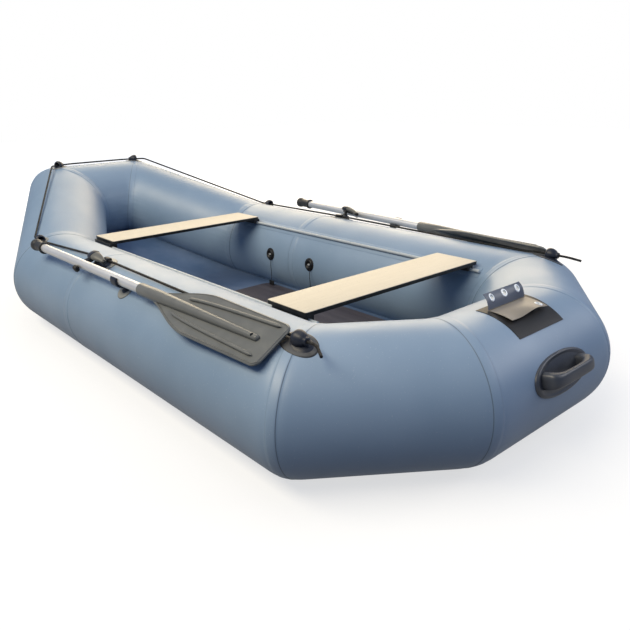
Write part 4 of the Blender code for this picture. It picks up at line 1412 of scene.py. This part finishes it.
class BOAT_OT_clips(bpy.types.Operator):
    """Makes the two rubber clips that hold the stowed oars"""

    bl_idname = "boat.clips"
    bl_label = "Oar clips"

    def execute(self, context):
        rubber = navy_rubber()
        pale = pad_fabric()
        skin = Skin()
        pad, clear, wall = 0.002, 0.0013, 0.005
        for side, word in SIDE_NAMES.items():
            centre = oar_frame(side) @ Vector((-CLIP_BEHIND, 0, 0))
            radial = centre - Vector((centre.x, side * SIDE_OFFSET, TUBE_R))
            height = radial.length - TUBE_R
            angle = math.atan2(abs(radial.y), radial.z)
            base = on_tube(side, 1, centre.x + MIDDLE, angle)
            bm = skin.pad(base, oval(0.058, 0.058), pad_profile(pad), (0, side * 0.006))
            finished(f"clip_pad_{word}", bm, pale, "hull", [f"oar_clip_pad_{word}"])
            middle = SHAFT_R + clear + wall / 2
            turns = [math.radians(-112 + 182 * i / 24) for i in range(25)]
            route = []
            for turn in turns:
                across, out = side * middle * math.cos(turn), height + middle * math.sin(turn)
                route.append(base @ Vector((0, across, out)))
            outline = oval(0.034, 0.0062, 24, 4.0)
            bm = sweep(route, lambda share: [(b, a) for a, b in outline], base.col[0].xyz)
            foot_top = height - SHAFT_R - clear
            foot = Matrix.Translation((0, 0, (pad + foot_top) / 2))
            bar = block((0.022, 0.0155, foot_top - pad), base @ foot, 0.002)
            rows = [(0.0, 0.0042), (0.7, 0.0042), (0.9, 0.0036), (1.0, 0.002), (1.0, 0.0005)]
            rows.append((0.0, 0.0005))
            flange = skin.pad(base, oval(0.034, 0.034), rows)
            node = f"oar_clip_hook_{word}"
            finished(f"clip_{word}", merged(bm, bar, flange), rubber, "hull", [node])
        return {"FINISHED"}


# Stern fittings


def stern_point(angle, offset, out):
    """A point over the stern cross tube, from its angle round it and offset to port."""
    reach = TUBE_R + out
    return place(-STERN_RUN, offset, TUBE_R) + Vector(
        (-math.sin(angle) * reach, 0, math.cos(angle) * reach)
    )


def eyelet(place):
    """A pressed metal ring on both faces of a flap."""
    half = [(EYELET_HOLE_R, 0.0009), (EYELET_HOLE_R + 0.001, 0.002), (EYELET_R - 0.0014, 0.0018)]
    half += [(EYELET_R, 0.0006)]
    profile = half + [(r, -z) for r, z in half[::-1]]
    profile = softened(profile, 0.0006, 3, closed=True)
    return turned(profile + [profile[0]], place, 36)


def facing(shape, column, row):
    """A frame on a sheet that faces out of it, at one of its corners."""
    across = (shape(column + 1, row) - shape(column - 1, row)).normalized()
    along = shape(column, row + 1) - shape(column, row - 1)
    normal = across.cross(along).normalized()
    return frame_at(shape(column, row), across, normal.cross(across), normal)


def centred(piece, spots):
    """Each spot moved to the middle of the flap's thickness, as it is round its hole."""
    mesh = piece.data
    faces = [tuple(face.vertices) for face in mesh.polygons]
    tree = BVHTree.FromPolygons([vert.co for vert in mesh.vertices], faces)
    moved = []
    for spot in spots:
        clear = spot.col[2].xyz * 0.01
        heights = []
        for x, y in ((1, 0), (-1, 0), (0, 1), (0, -1)):
            near = spot @ (Vector((x, y, 0)) * EYELET_SEAT_R)
            for way in (clear, -clear):
                hit = tree.ray_cast(near + way, -way)[0]
                if hit is not None:
                    heights.append((hit - spot.translation).dot(clear) / clear.length)
        shift = clear.normalized() * sum(heights) / len(heights)
        moved.append(Matrix.Translation(shift) @ spot)
    return moved


class BOAT_OT_patch(bpy.types.Operator):
    """Makes the stern patch, its two lacing flaps and their eyelets"""

    bl_idname = "boat.patch"
    bl_label = "Stern patch"

    def execute(self, context):
        fabric = plain_fabric("patch_fabric", looks().patch_colour, 0.5, 0.03)
        slate = plain_fabric("flap_fabric", (0.1, 0.12, 0.165), 0.38)
        taupe = plain_fabric("tongue_fabric", (0.21, 0.19, 0.165), 0.45)
        metal = brushed_metal("eyelet_metal", (0.74, 0.8, 0.86), 0.34, 0.35)
        half, columns, rows = 0.0925, 24, 16

        def patch(column, row):
            side = column / columns * 2 - 1
            angle = PATCH_FRONT + (PATCH_BACK - PATCH_FRONT) * row / rows
            return stern_point(angle, side * half, 0.0012)

        size = (2 * half, (PATCH_BACK - PATCH_FRONT) * TUBE_R)
        bm = grid(columns, rows, patch, size)
        piece = finished("lacing_patch", self.thick(bm, 0.0014), fabric, "hull", ["stern_patch"])
        self.upright(slate, metal)
        self.folded(taupe, metal)
        return {"FINISHED"}

    def thick(self, bm, thickness, spots=()):
        """A sheet given its thickness, open under the ring of each eyelet."""
        opened = set()
        for face in bm.faces:
            middle = face.calc_center_median()
            if any((middle - spot.translation).length < EYELET_OPENING_R for spot in spots):
                opened.add(face)
        bmesh.ops.delete(bm, geom=list(opened), context="FACES")
        bmesh.ops.recalc_face_normals(bm, faces=bm.faces)
        bmesh.ops.solidify(bm, geom=bm.faces[:], thickness=thickness)
        return bm

    def upright(self, slate, metal):
        half, tall, columns, rows = FLAP_HALF, 0.039, 64, 24
        root = math.radians(4)

        def shape(column, row):
            side = column / columns * 2 - 1
            share = row / rows
            lean = math.radians(15 + 19 * share**2)
            ripple = 0.0022 * math.sin(side * 3.6 + 0.6) * share
            foot = stern_point(root, side * half, 0.0022)
            away = Vector((-math.sin(root - lean), 0, math.cos(root - lean)))
            across = Vector((math.cos(root - lean), 0, math.sin(root - lean)))
            return foot + away * tall * share + across * ripple

        bm = grid(columns, rows, shape, (2 * half, tall))
        spots = [facing(shape, column, 16) for column in (10, 32, 54)]
        node = "stern_flap_upright"
        piece = finished("lacing_flap", self.thick(bm, FLAP_THICK, spots), slate, "hull", [node])
        spots = centred(piece, spots)
        rings = merged(*[eyelet(spot) for spot in spots])
        rings = finished("lacing_eyelets", rings, metal, "hull", [node])

    def folded(self, fabric, metal):
        half, deep, columns, rows = FLAP_HALF, 0.058, 96, 32
        first = math.radians(5)

        def shape(column, row):
            side = column / columns * 2 - 1
            share = row / rows
            angle = first + deep * share / TUBE_R
            hump = math.exp(-(((side + 0.25) / 0.4) ** 2))
            ripple = 0.001 * math.sin(side * 7.0 + 0.5)
            lift = 0.0026 + share**1.3 * (0.007 + 0.012 * hump + ripple)
            return stern_point(angle, side * half, lift)

        flat = cord_length([shape(columns // 2, row) for row in range(rows + 1)])
        bm = grid(columns, rows, shape, (2 * half, flat))
        spots = [facing(shape, 12, 24)]
        node = "stern_flap_folded"
        piece = finished("lacing_tongue", self.thick(bm, FLAP_THICK, spots), fabric, "hull", [node])
        ring = eyelet(centred(piece, spots)[0])
        ring = finished("tongue_eyelet", ring, metal, "hull", [node])


class BOAT_OT_handle(bpy.types.Operator):
    """Makes the moulded carrying handle on the stern"""

    bl_idname = "boat.handle"
    bl_label = "Stern handle"

    def execute(self, context):
        rubber = moulded_plastic("handle_rubber", (0.042, 0.048, 0.062), 0.4, 300.0, 0.02, 0.6)
        base = on_stern(0, HANDLE_ANGLE)
        skin = Skin()
        outline = oval(0.225, 0.096, 80, 2.2)
        rows = [(0.0, 0.003), (0.4, 0.003), (0.76, 0.003), (0.82, 0.0036), (0.87, 0.0058)]
        rows += [(0.91, 0.0066), (0.955, 0.006), (0.985, 0.004), (1.0, 0.0015), (1.0, -SUNK)]
        plate = skin.pad(base, outline, rows + [(0.0, -SUNK)], (0, -0.003))
        loop = self.loop(base @ Matrix.Translation((0, -0.006, 0)))
        bm = merged(plate, loop)
        finished("handle", bm, rubber, "hull", ["stern_handle"], 50)
        return {"FINISHED"}

    def loop(self, base):
        """The bar and its two feet, between an outer arch and the arch of the finger gap."""
        outer, inner = (0.089, 0.0438, 5.0), (0.061, 0.0288, 3.0)
        depth, sides, steps = 0.0145, 40, 96
        outline = oval(2.0, 2.0, sides, 3.2)

        def arch(turn, size):
            half, tall, power = size
            x, z = math.cos(turn), math.sin(turn)
            x = math.copysign(abs(x) ** (2 / power), x) * half
            return Vector((x, 0, max(0.0, z) ** (2 / power) * tall))

        def shape(column, row):
            turn = math.pi * row / steps
            low, high = arch(turn, inner), arch(turn, outer)
            foot = abs(math.cos(turn)) ** 3
            part, across = outline[column % sides]
            spot = (low + high) / 2 + (high - low) / 2 * part
            return base @ (spot + Vector((0, across * (depth + 0.005 * foot), 0)))

        bm = grid(sides, steps, shape)
        close_ends(bm)
        return bm


# Valves


class BOAT_OT_valves(bpy.types.Operator):
    """Makes the two air valves with their cords and caps"""

    bl_idname = "boat.valves"
    bl_label = "Valves"

    def execute(self, context):
        black = black_plastic()
        insert_plastic = moulded_plastic("valve_insert", (0.4, 0.42, 0.44), 0.3)
        cord = braided_rope("lanyard_cord", (0.02, 0.02, 0.022))
        for name, station in VALVE_PLACES.items():
            run = 2 if station > CHAMBER_SEAM else 1
            distance = station - CHAMBER_SEAM if run == 2 else station
            base = on_tube(STARBOARD, run, distance, VALVE_ANGLE)
            ring = [(0, 0.001), (0.0095, 0.001), (0.011, 0.0022), (0.0125, 0.0058)]
            ring += [(0.0145, 0.0068), (0.018, 0.0062), (0.0195, 0.0045), (0.0205, 0.0022)]
            ring += [(0.0245, 0.0018), (VALVE_R, 0.0006), (VALVE_R, -0.003), (0, -0.003)]
            node = f"valve_{name}"
            finished(f"{node}_ring", turned(ring, base), black, "hull", [node], 50)
            key = block((0.013, 0.004, 0.003), base @ Matrix.Translation((0, 0, 0.0028)), 0.001)
            knob = turned([(0, 0.005), (0.0035, 0.0045), (0.0042, 0.001), (0, 0.001)], base, 24)
            finished(f"{node}_insert", merged(key, knob), insert_plastic, "hull", [node])
            self.lanyard(name, cord, black)
        return {"FINISHED"}

    def lanyard(self, name, cord, black):
        node = f"lanyard_{name}"
        low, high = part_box(node)
        x, y = (low.x + high.x) / 2, (low.y + high.y) / 2
        tall = 0.02
        top = Vector((x, y, high.z))
        foot = Vector((x, y, low.z + tall - 0.002))
        route = []
        for i in range(13):
            share = i / 12
            bow = Vector((0.0012 * math.sin(share * 7), 0.0006 * math.sin(share * 5), 0))
            route.append(top.lerp(foot, share) + bow * math.sin(math.pi * share))
        size = (math.tau * CAP_CORD_R, cord_length(route))
        bm = sweep(route, round_section(CAP_CORD_R, 10), Vector((1, 0, 0)), size)
        line = finished(f"cap_cord_{name}", bm, cord, "hull", [node], 60)
        spot = Matrix.Translation((x, y, low.z + tall / 2))
        cap = block((0.03, 0.004, tall), spot, 0.0016)
        cap = finished(f"cap_tab_{name}", cap, black, "hull", [node])
        cord_length(route)


# Stage


def soft_lamp(name, at, towards, size, power, colour):
    data = bpy.data.lights.new(name, "AREA")
    data.shape = "RECTANGLE"
    data.size, data.size_y = size
    data.energy = power
    data.color = colour
    lamp = bpy.data.objects.new(name, data)
    bpy.context.scene.collection.objects.link(lamp)
    lamp.location = at
    lamp.visible_camera = False
    lamp.rotation_euler = (Vector(towards) - Vector(at)).to_track_quat("-Z", "Y").to_euler()


class BOAT_OT_stage(bpy.types.Operator):
    """Makes the pale floor, the soft lamps and the camera"""

    bl_idname = "boat.stage"
    bl_label = "Stage"

    def execute(self, context):
        self.camera(context.scene)
        self.floor()
        self.background(context.scene)
        soft_lamp("key", (2.9, -2.9, 2.1), (0, 0, 0.2), (6.0, 2.4), 190, (1.0, 0.81, 0.52))
        soft_lamp("top", (-0.4, 0.1, 3.3), (0, 0, 0), (2.4, 1.8), 18, (1.0, 0.93, 0.8))
        soft_lamp("fill", (0.1, 2.8, 3.5), (0, 0.2, 0.3), (4.6, 1.6), 190, (1.0, 0.88, 0.65))
        soft_lamp("back", (-2.4, -1.6, 1.5), (-1.0, -0.2, 0.3), (1.6, 1.0), 18, (1.0, 0.97, 0.94))
        context.scene.view_settings.view_transform = "Standard"
        return {"FINISHED"}

    def camera(self, scene):
        data = bpy.data.cameras.new("camera")
        data.sensor_width = SENSOR
        data.lens = CAMERA_FOCAL / IMAGE_WIDTH * SENSOR
        data.clip_start = 0.05
        camera = bpy.data.objects.new("camera", data)
        scene.collection.objects.link(camera)
        level = math.cos(CAMERA_PITCH)
        forward = Vector((math.cos(CAMERA_YAW) * level, math.sin(CAMERA_YAW) * level, 0))
        forward.z = -math.sin(CAMERA_PITCH)
        right = forward.cross(UP).normalized()
        up = right.cross(forward)
        turned_right = right * math.cos(CAMERA_ROLL) + up * math.sin(CAMERA_ROLL)
        turned_up = up * math.cos(CAMERA_ROLL) - right * math.sin(CAMERA_ROLL)
        camera.matrix_world = frame_at(CAMERA_AT, turned_right, turned_up, -forward)
        scene.camera = camera

    def floor(self):
        bm = bmesh.new()
        bmesh.ops.create_grid(bm, x_segments=1, y_segments=1, size=12.0)
        mesh = bpy.data.meshes.new("floor")
        bm.to_mesh(mesh)
        bm.free()
        floor = bpy.data.objects.new("floor", mesh)
        bpy.context.scene.collection.objects.link(floor)
        shader = Shader("floor_paper", roughness=0.9, emission_strength=1.0)
        paths = [
            shader.node("ShaderNodeLightPath", output=f"Is {word} Ray")
            for word in ("Camera", "Glossy", "Transmission")
        ]
        seen = paths[0].most(paths[1] * 0.4).most(paths[2])
        x, y, _ = shader.parts(shader.place())
        far = (x * x + y * y).rise(2.0, 16.0)
        glow = shader.mix(far, grey(0.66), grey(1.0))
        glow = shader.mix(seen, grey(0.0), glow)
        shader.feed(shader.surface.inputs["Emission Color"], glow)
        paper = shader.mix(seen, grey(0.06), grey(0.34))
        shader.feed(shader.surface.inputs["Base Color"], paper)
        mesh.materials.append(shader.material)

    def background(self, scene):
        world = bpy.data.worlds.new("studio")
        world.use_nodes = True
        scene.world = world
        nodes = Nodes(world.node_tree)
        seen = nodes.node("ShaderNodeLightPath", output="Is Camera Ray")
        colour = nodes.mix(seen, (0.15, 0.22, 0.37, 1.0), grey(1.0))
        nodes.feed(world.node_tree.nodes["Background"].inputs["Color"], colour)


# Add-on


PIECES = (
    BOAT_OT_tubes,
    BOAT_OT_bottom,
    BOAT_OT_rails,
    BOAT_OT_benches,
    BOAT_OT_grab_line,
    BOAT_OT_rowlocks,
    BOAT_OT_oars,
    BOAT_OT_clips,
    BOAT_OT_patch,
    BOAT_OT_handle,
    BOAT_OT_valves,
    BOAT_OT_stage,
)


class BOAT_PT_looks(bpy.types.Panel):
    """Lists the boat's finish and the steps that make its pieces"""

    bl_idname = "BOAT_PT_looks"
    bl_label = "Rowing boat"
    bl_space_type = "VIEW_3D"
    bl_region_type = "UI"
    bl_category = "Boat"

    def draw(self, context):
        settings = context.scene.boat_looks
        for name in settings.bl_rna.properties.keys():
            if name not in ("rna_type", "name"):
                self.layout.prop(settings, name)
        for operator in PIECES:
            self.layout.operator(operator.bl_idname)


CLASSES = (BoatLooks, *PIECES, BOAT_PT_looks)


def register():
    for item in CLASSES:
        bpy.utils.register_class(item)
    bpy.types.Scene.boat_looks = bpy.props.PointerProperty(type=BoatLooks)


def unregister():
    del bpy.types.Scene.boat_looks
    for item in reversed(CLASSES):
        bpy.utils.unregister_class(item)


def main():
    register()
    for operator in PIECES:
        group, name = operator.bl_idname.split(".")
        getattr(getattr(bpy.ops, group), name)()


if __name__ == "__main__":
    main()
